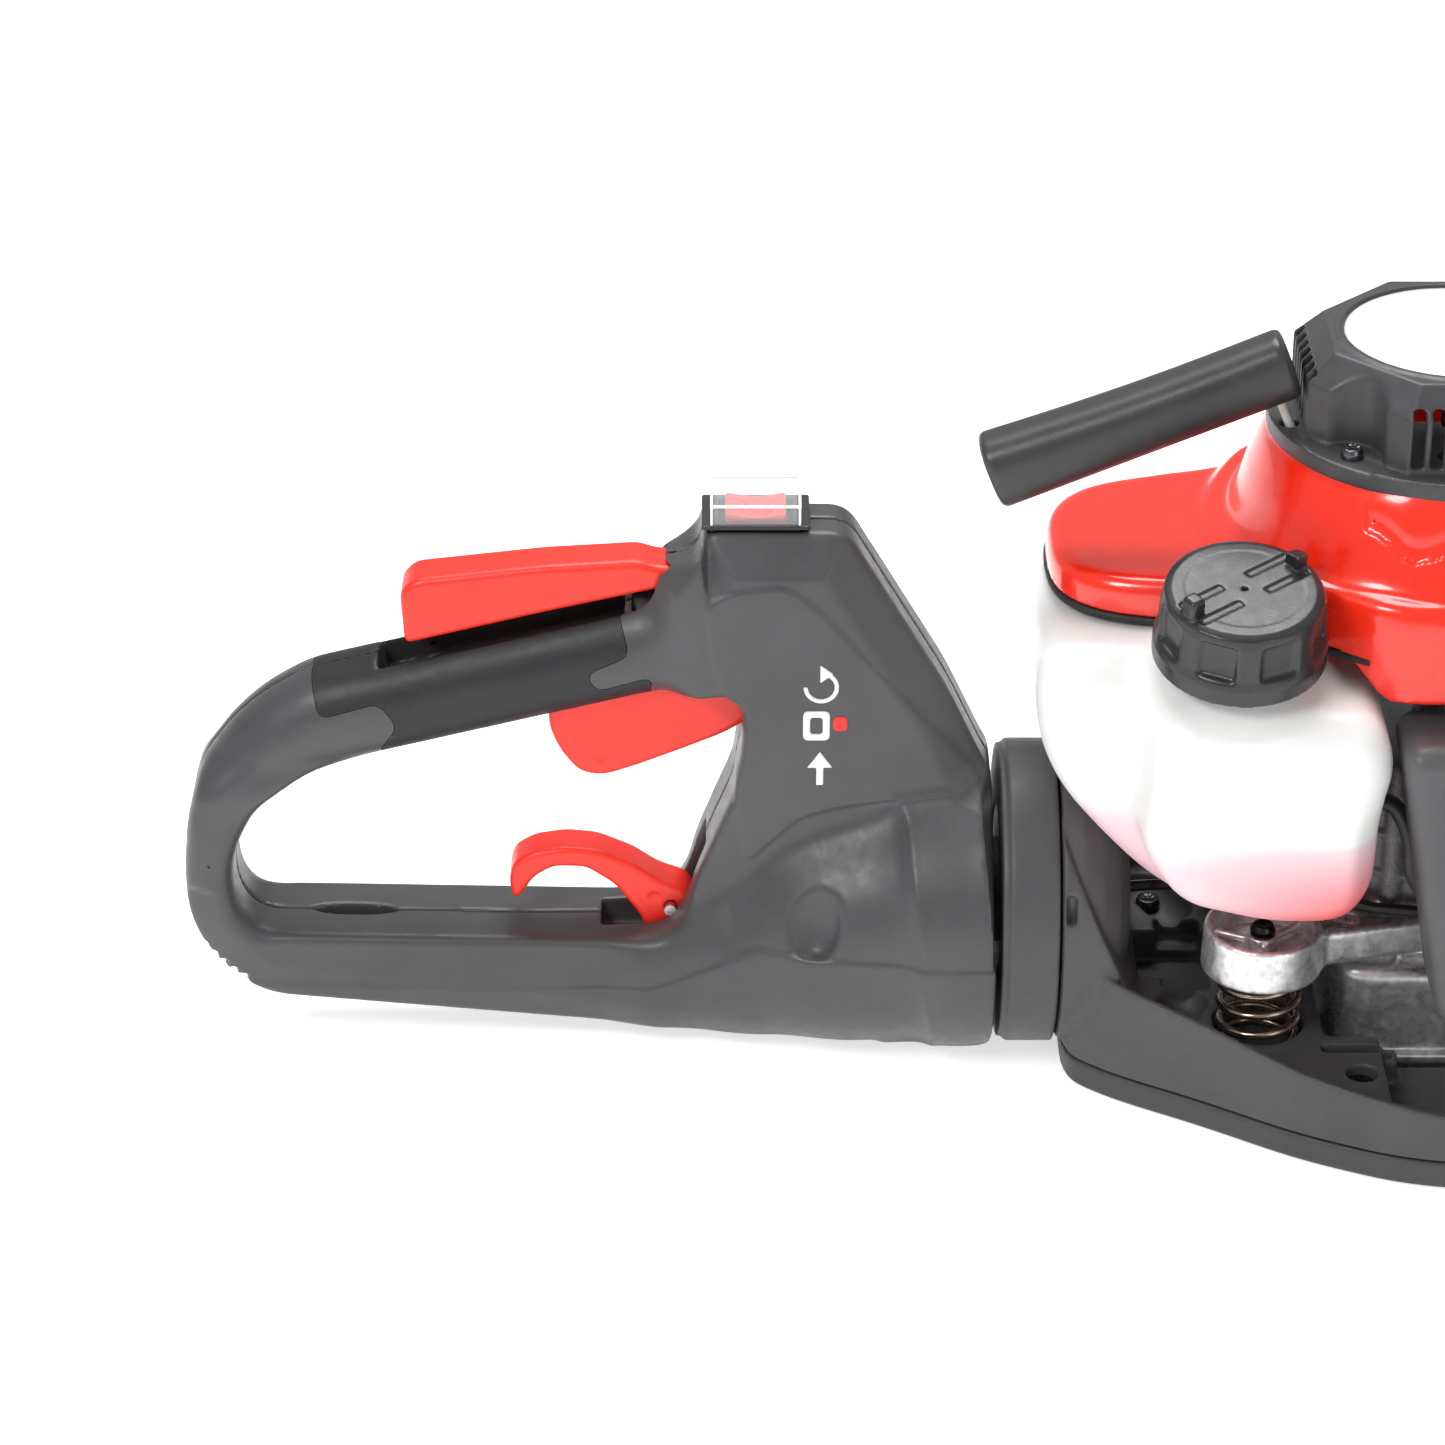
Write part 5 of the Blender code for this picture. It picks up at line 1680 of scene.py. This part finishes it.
    def screw(self, name: str, x: float, y: float) -> Piece:
        """A black screw with a lobed socket, in a foot's hub.

        Args:
            name: Name of the piece.
            x: Place along the machine, in millimetres.
            y: Place across it, in millimetres.

        Returns:
            The piece.
        """
        clay = Clay((x - 5, y - 5, 58.8), (x + 5, y + 5, 67), 0.25)
        place = Matrix.Translation((x, y, 0))
        clay.add(clay.turned(((0.1, 59.6), (2.7, 59.6), (2.7, 61.7), (4.3, 61.7), (4.3, 63.6), (3.4, 65.4),
                              (0.1, 65.8)), place))
        for k in range(3):
            a = math.pi * k / 3
            dx, dy = 1.5 * math.cos(a), 1.5 * math.sin(a)
            clay.cut(clay.rod((x - dx, y - dy, 66.2), (x + dx, y + dy, 66.2), 1.1), 0.3)
        return clay.skin(name, 1)

    def build(self) -> None:
        """Makes the castings, their screws and the inner parts' finishes."""
        self.show(self.casting(), Body.ENGINE, self.aluminium, "cast_aluminium", ["gear_case"])
        self.show(self.crankcase(), Body.ENGINE, self.rough, "cast_aluminium", ["crankcase"])
        for k, (x, y) in enumerate(self.feet):
            self.show(self.screw(f"foot_screw_{k + 1}", x, y), Body.ENGINE, self.black_steel, "steel")
        self.dress(self.aluminium, "gear_case_cover", soften=0.8)
        self.dress(self.plate_steel, "clutch_drum", "drive_gear", "crankshaft", "flywheel", "piston",
                   soften=0.3)


# ------------------------------------------------------------------ tank and cap


@dataclass
class Tank(Assembly):
    """The milky fuel tank with its filler lobe, and the black screw cap."""

    side: tuple[Point, ...] = (
        (-50, 176), (-134, 174), (-138, 165), (-137, 142), (-129, 122), (-113, 103), (-98, 88), (-78, 76),
        (-50, 74))
    lobe: tuple[Point, ...] = (
        (-28, 101), (-27, 132), (-23, 148), (-30, 167), (-100, 167), (-105, 118), (-91, 97), (-62, 90),
        (-38, 90))
    cap_centre: tuple[float, float, float] = (-74.0, -68.35, 179.5)
    tilt: float = 13.0
    fuel_level: float = 0.123
    scallops: int = 8
    black: Material = made_of(Moulded(
        "cap_black", (0.022, 0.022, 0.024), 0.3, 0.3, 1100.0, 0.15))

    def cap_place(self) -> Matrix:
        """The cap's own axes in millimetres, leaning to the right."""
        return Matrix.Translation(self.cap_centre) @ Matrix.Rotation(math.radians(self.tilt), 4, "X")

    def tank(self) -> Piece:
        """The tank as one blow-moulded skin with wide fillets.

        Returns:
            The piece.
        """
        clay = Clay((-142, -98, 70), (-20, 52, 192), 0.9)
        clay.add(clay.slab(rounded(self.side, 12), Plane.SIDE, -62, 48, 13.0))
        clay.add(clay.slab(rounded(self.lobe, 9), Plane.SIDE, -95, -30, 12.0), 12)
        place = self.cap_place()
        clay.add(clay.turned(((0.1, -26), (33, -26), (31, -12), (24, -6.5), (20.5, -4), (20, 7.6),
                              (0.1, 7.6)), place), 7)
        clay.cut(clay.rod((-22, -97, 96), (-22, -97, 122), 9), 8)
        clay.cut(clay.turned(((0.1, -22), (17, -22), (17, 30), (0.1, 30)), place), 0.6)
        return clay.skin("tank_skin", 3)

    def cap(self) -> Piece:
        """The cap: a cup with flats round its upper half, a flange, two finger lugs and a vent.

        Returns:
            The piece.
        """
        clay = Clay((-104, -104, 168), (-44, -40, 212), 0.45)
        place = self.cap_place()
        clay.add(clay.turned(((0.1, 0.6), (28.2, 0.6), (28.2, 6.5), (27.0, 10), (26.4, 22.5), (25.4, 25.6),
                              (23, 26.6), (0.1, 27)), place))
        clay.cut(clay.turned(((15, -5), (22, -5), (22, 18), (15, 18)), place), 0.4)
        clay.cut(clay.turned(((0.1, -5), (16, -5), (16, 12), (0.1, 12)), place), 0.4)
        for k in range(self.scallops):
            turn = place @ Matrix.Rotation(2 * math.pi * (k + 0.5) / self.scallops, 4, "Z")
            clay.cut(clay.block((24.6, -6.4, 9.5), (40, 6.4, 22.8), 1.6, turn), 1.4)
        for side in (0, math.pi):
            turn = place @ Matrix.Rotation(side + 0.62, 4, "Z")
            clay.add(clay.block((6.5, -3.2, 22), (24.2, 3.2, 33.0), 1.8, turn), 0.8)
            clay.cut(clay.block((5, 3.2, 26.0), (22.5, 6.4, 40), 0.8, turn), 0.6)
            clay.cut(clay.block((5, -6.4, 26.0), (22.5, -3.2, 40), 0.8, turn), 0.6)
        clay.cut(clay.turned(((0.1, 25), (0.9, 25), (0.9, 40), (0.1, 40)), place), 0.2)
        clay.cut(clay.turned(((18.4, 26.6), (19.2, 26.6), (19.2, 40), (18.4, 40)), place), 0.3)
        return clay.skin("filler_cap_cup", 2)

    def build(self) -> None:
        """Makes the tank and its cap."""
        milky = FuelTankSkin("milky_polythene", self.fuel_level, 0.03).build()
        self.show(self.tank(), Body.ENGINE, milky, "white_plastic", ["fuel_tank"])
        self.show(self.cap(), Body.CAP, self.black, "black_plastic", ["fuel_cap"])


# ------------------------------------------------------------------ cover and starter


@dataclass
class Shroud(Assembly):
    """The glossy red engine cover, stepped up to the starter, with a black strip of painted shadow under its
    rear edge.
    """

    plan: tuple[Point, ...] = (
        (-132, -14), (-127, -28), (-116, -38), (-98, -43), (-70, -48), (-40, -66), (-24, -78), (52, -78),
        (84, -66),
        (104, -40), (110, -14))
    top: float = 195.8
    ring_top: float = 228.0
    ring_radius: float = 57.2
    wall: float = 2.5
    step: float = 0.8
    lacquer: Material = made_of(Moulded(
        "red_lacquer", (0.93, 0.022, 0.004), 0.22, 0.04, 900.0, 0.03, 0.6, 0.5))
    # Near-black finish of the strip under the cover's rear edge: painted shadow where the edge overhangs.
    edge_shadow_finish: Material = made_of(Moulded(
        "painted_shadow_black", (0.015, 0.015, 0.016), 0.55, 0.3, 900.0, 0.1))

    def outline(self) -> list[Point]:
        """The cover's edge from above."""
        return rounded([*self.plan, *[(x, -y) for x, y in reversed(self.plan)]], 12)

    def height(self, clay: Clay) -> np.ndarray:
        """The cover's top surface over the plan: decks, a sloping band and the ring under the starter.

        Args:
            clay: The grid that the shape is made in.

        Returns:
            The field over the grid.
        """
        reach = np.sqrt(clay.x**2 + clay.y**2)
        front = ramp_up(clay.x, -46, -20)
        deck = self.top - 2.0 + 2.0 * front - 0.05 * np.maximum(-clay.x - 60, 0)
        shoulder = 7.0 * (1 - ramp_up(reach, 78, 84)) * ramp_up(clay.x, -90, -60)
        ring = (self.ring_top - self.top - 5) * (1 - ramp_up(reach, 58.5, 74))
        cove = 2.5 * (1 - ramp_up(reach, 66, 72)) + 2.5 * (1 - ramp_up(reach, 59, 61))
        side_fall = 0.16 * np.maximum(np.abs(clay.y) - 58, 0) * front
        return deck + shoulder * 0.8 + ring + cove - side_fall

    def cover(self) -> Piece:
        """The moulded cover, hollow underneath.

        Returns:
            The piece.
        """
        clay = Clay((-135, -81, 160), (113, 81, 232), self.step)
        rim = clay.flat(self.outline(), Plane.TOP)
        top = self.height(clay)
        low = 178.5 - 13.5 * ramp_up(clay.x, -42, -24)
        rise_x, rise_y = np.gradient(top[:, :, 0], self.step)
        skin = (clay.z - top) / np.sqrt(1 + rise_x**2 + rise_y**2)[:, :, None]
        outer = -soft_min(-(rim + 0 * clay.z), -skin, 7.0)
        inner = -soft_min(-(rim + self.wall + 0 * clay.z), -(skin + self.wall), 5.0)
        body = np.maximum(outer, low - clay.z)
        body = np.maximum(body, -inner)
        clay.add(body)
        clay.cut(clay.rod((0, 0, 150), (0, 0, 260), self.ring_radius, flat_ends=True), 0.8)
        groove = np.abs(rim + 13.0 + 0 * clay.z) - 0.8
        groove = np.maximum(groove, -(clay.x + 34) + 0 * groove)
        clay.cut(np.maximum(groove, -(skin + 1.0)), 1.4)
        return clay.skin("engine_cover", 3)

    def painted_edge_shadow(self) -> Piece:
        """The black strip that peeps out under the cover's rear edge: painted shadow of the overhanging
        edge.

        Returns:
            The piece.
        """
        clay = Clay((-135, -81, 170), (-28, 81, 182), 0.8)
        rim = clay.flat(self.outline(), Plane.TOP)
        strip = np.maximum(np.abs(rim + 1.4) - 2.0, np.abs(clay.z - 177.2) - 1.4)
        clay.add(np.maximum(strip, clay.x + 32))
        return clay.skin("cover_painted_shadow", 2)

    def build(self) -> None:
        """Makes the cover and the painted shadow strip under its rear edge."""
        self.show(self.cover(), Body.ENGINE, self.lacquer, "red_plastic", ["engine_shroud"])
        self.show(self.painted_edge_shadow(), Body.ENGINE, self.edge_shadow_finish, "rubber")


@dataclass
class Starter(Assembly):
    """The pull starter: black eight-sided housing with grilles, a plain white disc, screws, grip and rope.
    """

    base: float = 228.3
    top: float = 262.0
    base_radius: float = 61.0
    grip_low: tuple[float, float, float] = (-151.0, -12.0, 218.0)
    grip_high: tuple[float, float, float] = (-57.0, -12.0, 256.0)
    rope_place: tuple[float, float, float] = (-55.6, -12.0, 236.0)
    rope_axis: tuple[float, float, float] = (-0.37, 0.0, 0.93)
    black: Material = made_of(Moulded(
        "starter_black", (0.045, 0.045, 0.048), 0.42, 0.3, 1100.0, 0.12))
    grip_black: Material = made_of(Moulded(
        "pull_grip_black", (0.034, 0.034, 0.036), 0.36, 0.22, 1100.0, 0.15))
    white: Material = made_of(Moulded(
        "badge_white", (0.86, 0.86, 0.87), 0.16, 0.02, 900.0, 0.01, 0.5))
    screw_steel: Material = made_of(Steel("starter_screw", (0.16, 0.16, 0.17), 0.25))
    rope_fibre: Material = made_of(Moulded(
        "rope_fibre", (0.75, 0.74, 0.7), 0.8, 0.9, 1800.0, 0.25))
    reel_grey: Material = made_of(Moulded("reel_grey", (0.2, 0.2, 0.21), 0.5))

    def polygon(self, radius: float, sides: int = 8) -> list[Point]:
        """An even polygon with a corner on each slanted axis."""
        turn = [2 * math.pi * (k + 0.5) / sides for k in range(sides)]
        return [(radius * math.cos(a), radius * math.sin(a)) for a in turn]

    def housing(self) -> Piece:
        """The hollow housing with its chamfered top, corner pockets and slotted sides.

        Returns:
            The piece.
        """
        clay = Clay((-64, -64, 226), (64, 64, 264), 0.7)
        octagon = clay.flat(self.polygon(55.5), Plane.TOP)
        round_wall = np.sqrt(clay.x**2 + clay.y**2)
        upper = clay.slab(octagon, Plane.TOP, 200, self.top, 2.0)
        chamfer = (octagon + (clay.z - 253.0)) * 0.72
        upper = np.maximum(upper, chamfer)
        clay.add(upper)
        ring = np.maximum(round_wall - self.base_radius, np.abs(clay.z - 231.5) - 3.2)
        clay.add(ring, 1.5)
        clay.keep(self.base - clay.z + 0 * clay.x + 0 * clay.y)
        pocket_turns = [math.pi * (k + 0.5) / 2 for k in range(4)]
        for a in pocket_turns:
            x, y = 57 * math.cos(a), 57 * math.sin(a)
            clay.cut(clay.rod((x, y, 234.6), (x * 1.02, y * 1.02, 270), 12.5, flat_ends=True), 2.0)
        inner = clay.flat(self.polygon(52.3), Plane.TOP)
        room = np.maximum(clay.slab(inner, Plane.TOP, 190, 258.6, 1.5), (inner + (clay.z - 250.5)) * 0.72)
        for a in pocket_turns:
            x, y = 57 * math.cos(a), 57 * math.sin(a)
            room = np.maximum(room, -(clay.rod((x, y, 200), (x, y, 280), 15.2)))
        clay.cut(room, 0.8)
        self.cut_grilles(clay)
        clay.add(clay.rod((0, 0, 228.4), (0, 0, 260), 3.7, flat_ends=True), 1.0)
        clay.add(clay.turned(((38.2, 261.2), (40.6, 261.2), (40.2, 262.6), (38.6, 262.6))), 0.3)
        clay.cut(clay.rod((0, 0, 261.0), (0, 0, 270), 37.6, flat_ends=True), 0.3)
        axis = Vector(self.rope_axis)
        start = Vector(self.rope_place) - axis * 14
        clay.cut(clay.rod(start, Vector(self.rope_place) + axis * 12, 2.8, flat_ends=True), 0.5)
        return clay.skin("starter_case", 2)

    def cut_grilles(self, clay: Clay) -> None:
        """Cuts tall slots through the four straight sides.

        Args:
            clay: The grid that the shape is made in.
        """
        for quarter in range(4):
            turn = Matrix.Rotation(math.pi / 2 * quarter, 4, "Z")
            for k in range(-3, 4):
                slot = clay.block((k * 6.1 - 2.0, -70, 236.0), (k * 6.1 + 2.0, -40, 255.5), 1.2, turn)
                clay.cut(slot, 0.8)

    def disc(self) -> Piece:
        """The domed white disc let into the top, left blank."""
        dome = [(37.2 * math.sin(math.radians(a)),
                 261.2 + 3.4 * math.cos(math.radians(a))) for a in range(0, 91, 6)]
        return lathe("plain_disc", [(0, 260.6), (37.2, 260.6), *reversed(dome[1:]), (0, dome[0][1])],
                     steps=128)

    def grip(self) -> Piece:
        """The pull grip: an oval bar that tapers and curves a little, cut flat at its upper end.

        Returns:
            The piece.
        """
        low, high = Vector(self.grip_low), Vector(self.grip_high)
        along = (high - low).normalized()
        up = along.cross(Vector((0, 1, 0))) * -1
        clay = Clay((-168, -28, 202), (-50, 4, 272), 0.6)
        place = Matrix((along, (0, 1, 0), -up if up.z < 0 else up)).transposed().to_4x4()
        dx, dy, dz = clay.local(Matrix.Translation(low) @ place)
        length = (high - low).length
        share = np.clip(dx / length, 0, 1)
        deep = 12.6 - 1.2 * share - 1.8 * np.sin(np.pi * share) * 0.4
        broad = 11.6 - 1.0 * share
        bow = 1.4 * np.sin(np.pi * share)
        oval = (((np.abs(dy) / broad) ** 2.6 + (np.abs(dz + bow * 0.4) / deep) ** 2.6) ** (1 / 2.6) - 1) * 11
        ends = np.abs(dx - length / 2) - length / 2 - 1.5
        clay.add(-soft_min(-oval, -(ends + 0 * oval), 3.0))
        clay.cut(clay.rod((-57.6, -12, 238), (-61.5, -12, 249), 2.6), 0.8)
        return clay.skin("pull_bar", 2)

    def rope(self) -> None:
        """The visible stretch of rope, which draws out with the grip."""
        axis = Vector(self.rope_axis).normalized()
        low = Vector(self.rope_place) - axis * 12
        high = Vector(self.rope_place) + axis * 8
        route = [(low + (high - low) * k / 24) * MM for k in range(25)]
        rope = wire("rope_strand", route, 1.6, 14)
        rope.data.materials.append(self.rope_fibre)
        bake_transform(rope)
        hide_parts("starter_rope")
        log.info("rope_strand draws out with the grip")

    def build(self) -> None:
        """Makes the starter's pieces."""
        self.show(self.housing(), Body.ENGINE, self.black, "black_plastic", ["starter_housing"])
        self.show(self.disc(), Body.ENGINE, self.white, "white_plastic")
        for k in range(4):
            a = math.pi * (k + 0.5) / 2
            screw = pan_screw(f"starter_screw_{k + 1}", 53 * math.cos(a), 53 * math.sin(a), self.base + 7.0,
                              3.6)
            self.show(screw, Body.ENGINE, self.screw_steel, "steel")
        self.show(self.grip(), Body.PULL, self.grip_black, "black_plastic", ["starter_grip"])
        self.rope()
        self.dress(self.reel_grey, "starter_reel", soften=0.4)


# ------------------------------------------------------------------ filter, hoses and the front end


@dataclass
class FilterAndFuel(Assembly):
    """The slanted air filter cover, the hoses and cables, and the finishes of the fuel system."""

    cover: tuple[Point, ...] = ((-5, 54), (34, 54), (42, 67), (106, 67), (108, 130), (98, 158), (-23, 158))
    hose: tuple[tuple[float, float, float], ...] = (
        (-27.4, -59, 120), (-19, -59, 118), (-13, -58.8, 106), (-10, -58.8, 90), (4, -58, 76), (24, -56, 73),
        (38, -52, 77), (46.5, -49, 83))
    grey: Material = made_of(Moulded(
        "filter_grey", (0.078, 0.079, 0.083), 0.48, 0.45, 1000.0, 0.12))
    black: Material = made_of(Moulded(
        "fuel_black", (0.02, 0.02, 0.021), 0.5, 0.4, 1000.0, 0.15))
    hose_rubber: Material = made_of(Moulded(
        "hose_rubber", (0.03, 0.03, 0.031), 0.45, 0.25, 900.0, 0.15))
    zinc: Material = made_of(Cast("zinc_casting", (0.5, 0.49, 0.46), 0.4, 0.3))
    foam: Material = made_of(Foam("filter_foam", (0.12, 0.12, 0.13)))
    bulb: Material = made_of(Moulded(
        "primer_silicone", (0.75, 0.28, 0.08), 0.3, 0.1, 900.0, 0.1, 0.2))

    def lid(self) -> Piece:
        """The filter cover with a dished face, louvres and a thumb knob.

        Returns:
            The piece.
        """
        clay = Clay((-27, -101, 51), (111, -65, 161), 0.9)
        rim = clay.flat(rounded(self.cover, 9), Plane.SIDE)
        clay.add(clay.slab(rim, Plane.SIDE, -98, -50, 7.0))
        clay.keep(clay.y + 66.6)
        clay.cut(clay.slab(rim + 12, Plane.SIDE, -120, -96.4, 1.5), 2.0)
        for k in range(5):
            z = 84 + 13 * k
            clay.cut(clay.rod((20, -97.5, z), (84, -97.5, z + 2), 2.2), 1.2)
        clay.add(clay.rod((52, -90, 146), (52, -98.6, 146), 8, 7, True), 1.5)
        clay.cut(clay.slab(rim + 2.6, Plane.SIDE, -95.0, -60, 4.0), 0.6)
        return clay.skin("filter_lid", 2)

    def build(self) -> None:
        """Makes the lid and hoses and dresses the rest."""
        self.show(self.lid(), Body.ENGINE, self.grey, "black_plastic", ["air_filter_cover"])
        route = flowing([mm(*point) for point in self.hose], 10)
        self.show(wire("fuel_line", route, 2.9, 20), Body.ENGINE, self.hose_rubber, "rubber", ["fuel_hose"])
        self.dress(self.black, "air_filter_base", "ignition_coil", "throttle_cable_front",
                   "throttle_cable_rear",
                   "choke_lever", soften=0.5)
        self.dress(self.zinc, "carburettor", soften=1.2)
        self.dress(self.foam, "air_filter_element")
        self.dress(self.bulb, "primer_bulb")


@dataclass
class Exhaust(Assembly):
    """The finned cylinder, spark plug and its boot, and the silencer with its guard."""

    fins: Material = made_of(Cast("cylinder_casting", (0.56, 0.56, 0.57), 0.42, 0.4))
    steel: Material = made_of(Steel("silencer_steel", (0.42, 0.40, 0.38), 0.34))
    guard: Material = made_of(Steel("guard_steel", (0.55, 0.55, 0.56), 0.3))
    plug: Material = made_of(Steel("plug_steel", (0.7, 0.7, 0.7), 0.22))
    boot: Material = made_of(Moulded("plug_rubber", (0.02, 0.02, 0.02), 0.55, 0.4, 900.0))

    def build(self) -> None:
        """Dresses the cylinder's side and makes the louvred guard."""
        self.dress(self.fins, "cylinder", soften=0.3)
        self.dress(self.steel, "muffler", soften=3.0)
        self.dress(self.plug, "spark_plug", soften=0.3)
        self.dress(self.boot, "plug_boot", soften=1.5)
        low, high = (Vector(corner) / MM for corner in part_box("muffler_guard"))
        clay = Clay(low - Vector((1, 1, 1)), high + Vector((1, 1, 1)), 0.7)
        clay.add(clay.block(low, high, 1.4))
        for k in range(5):
            z = low.z + 12 + 10.5 * k
            clay.cut(clay.block((low.x + 9, low.y - 5, z), (high.x - 9, high.y + 5, z + 4.6), 1.8), 0.5)
        self.show(clay.skin("silencer_guard", 1), Body.ENGINE, self.guard, "steel", ["muffler_guard"])


@dataclass
class FrontEnd(Assembly):
    """The bow handle with its soft sleeve, the hand guard and the blades."""

    bow: tuple[tuple[float, float, float], ...] = (
        (62, -125, 14), (66, -125, 44), (82, -126, 84), (106, -122, 128), (126, -106, 166), (136, -72, 189),
        (139, -34, 194))
    guard: tuple[Point, ...] = (
        (-96, 28.6), (96, 28.6), (116, 62), (121, 116), (105, 162), (60, 182), (-60, 182), (-105, 162),
        (-121, 116), (-116, 62))
    tube_black: Material = made_of(Moulded(
        "bow_black", (0.03, 0.03, 0.032), 0.4, 0.25, 1100.0, 0.12))
    soft: Material = made_of(Moulded(
        "bow_rubber", (0.045, 0.045, 0.048), 0.65, 0.5, 900.0, 0.1))
    guard_black: Material = made_of(Moulded(
        "guard_black", (0.03, 0.03, 0.032), 0.45, 0.35, 1000.0, 0.12))
    blade_steel: Material = made_of(Steel(
        "blade_steel", (0.62, 0.62, 0.64), 0.24, (1.0, 0.08, 1.0), 700.0))
    bolt_steel: Material = made_of(Steel("bolt_steel", (0.35, 0.35, 0.37), 0.28))

    def handle(self) -> None:
        """The bow as a smooth tube with feet, and a ribbed sleeve on its top stretch."""
        half = [mm(*point) for point in self.bow]
        other = [Vector((p.x, -p.y, p.z)) for p in reversed(half)]
        route = flowing([*half, *other], 12)
        tube = wire("bow_tube", route, 11.6, 32)
        feet = []
        for side in (-1, 1):
            near, far = sorted((112.8 * side, 121 * side))
            foot = Clay((50, min(near, far) - 1, 10), (76, max(near, far) + 1, 29), 0.7)
            foot.add(foot.block((52.2, near, 12), (73.8, far, 27), 2.5))
            feet.append(foot.skin(f"bow_foot_{'right' if side < 0 else 'left'}", 1))
        self.show(tube, Body.BASE, self.tube_black, "black_plastic", ["front_handle"])
        for foot in feet:
            self.show(foot, Body.BASE, self.tube_black, "black_plastic")
        top = [p for p in route if abs(p.y) < 0.088 and p.z > 0.16]
        self.show(wire("bow_sleeve", top, 12.4, 40), Body.BASE, self.soft, "soft_grip")
        for k in range(9):
            spot = top[int((len(top) - 1) * (0.1 + 0.1 * k))]
            after = top[int((len(top) - 1) * (0.1 + 0.1 * k)) + 1]
            way = (after - spot).normalized() * 0.0012
            self.show(bar(f"sleeve_rib_{k + 1}", spot - way, spot + way, 12.9), Body.BASE, self.soft,
                      "soft_grip")

    def shield(self) -> Piece:
        """The hand guard with a rolled rim, a raised field and its two arms.

        Returns:
            The piece.
        """
        clay = Clay((92, -123, 26), (184, 123, 184), 1.0)
        rim = clay.flat(rounded(self.guard, 16), Plane.FRONT)
        clay.add(clay.slab(rim, Plane.FRONT, 177.6, 181, 1.2))
        clay.add(np.maximum(np.abs(rim + 2.4) - 2.2, np.abs(clay.x - 178.6) - 3.6), 1.5)
        clay.add(clay.slab(rim + 26, Plane.FRONT, 179, 182.6, 1.2), 2)
        for side in (-1, 1):
            near, far = sorted((60 * side, 74 * side))
            clay.add(clay.block((94, near, 28.6), (179, far, 32.6), 1.5), 3)
            clay.add(clay.rod((150, 67 * side, 31), (178, 67 * side, 58), 3.0), 4)
        clay.cut(clay.block((150, -50, 40), (200, 50, 66), 4), 1.0)
        clay.cut(clay.block((165, -16, 20), (200, 16, 37), 2), 1.0)
        clay.keep(28.6 - clay.z + 0 * clay.x + 0 * clay.y)
        return clay.skin("front_guard", 2)

    def build(self) -> None:
        """Makes the front end."""
        self.handle()
        self.show(self.shield(), Body.BASE, self.guard_black, "black_plastic", ["hand_guard"])
        self.dress(self.blade_steel, "upper_blade", "lower_blade", "blade_bar", soften=0.25)
        self.dress(self.bolt_steel, "blade_bolt_1", "blade_bolt_2", soften=0.3)


def main() -> None:
    """Builds the studio and then each sub-assembly."""
    logging.basicConfig(level=logging.INFO, format="%(message)s")
    Studio().build()
    sub_assemblies = (RearHandle, Levers, StopSwitch, Base, Springs, Carrier, Tank, Shroud, Starter,
                      FilterAndFuel,
                      Exhaust, FrontEnd)
    for sub_assembly in sub_assemblies:
        sub_assembly().build()


if __name__ == "__main__":
    main()
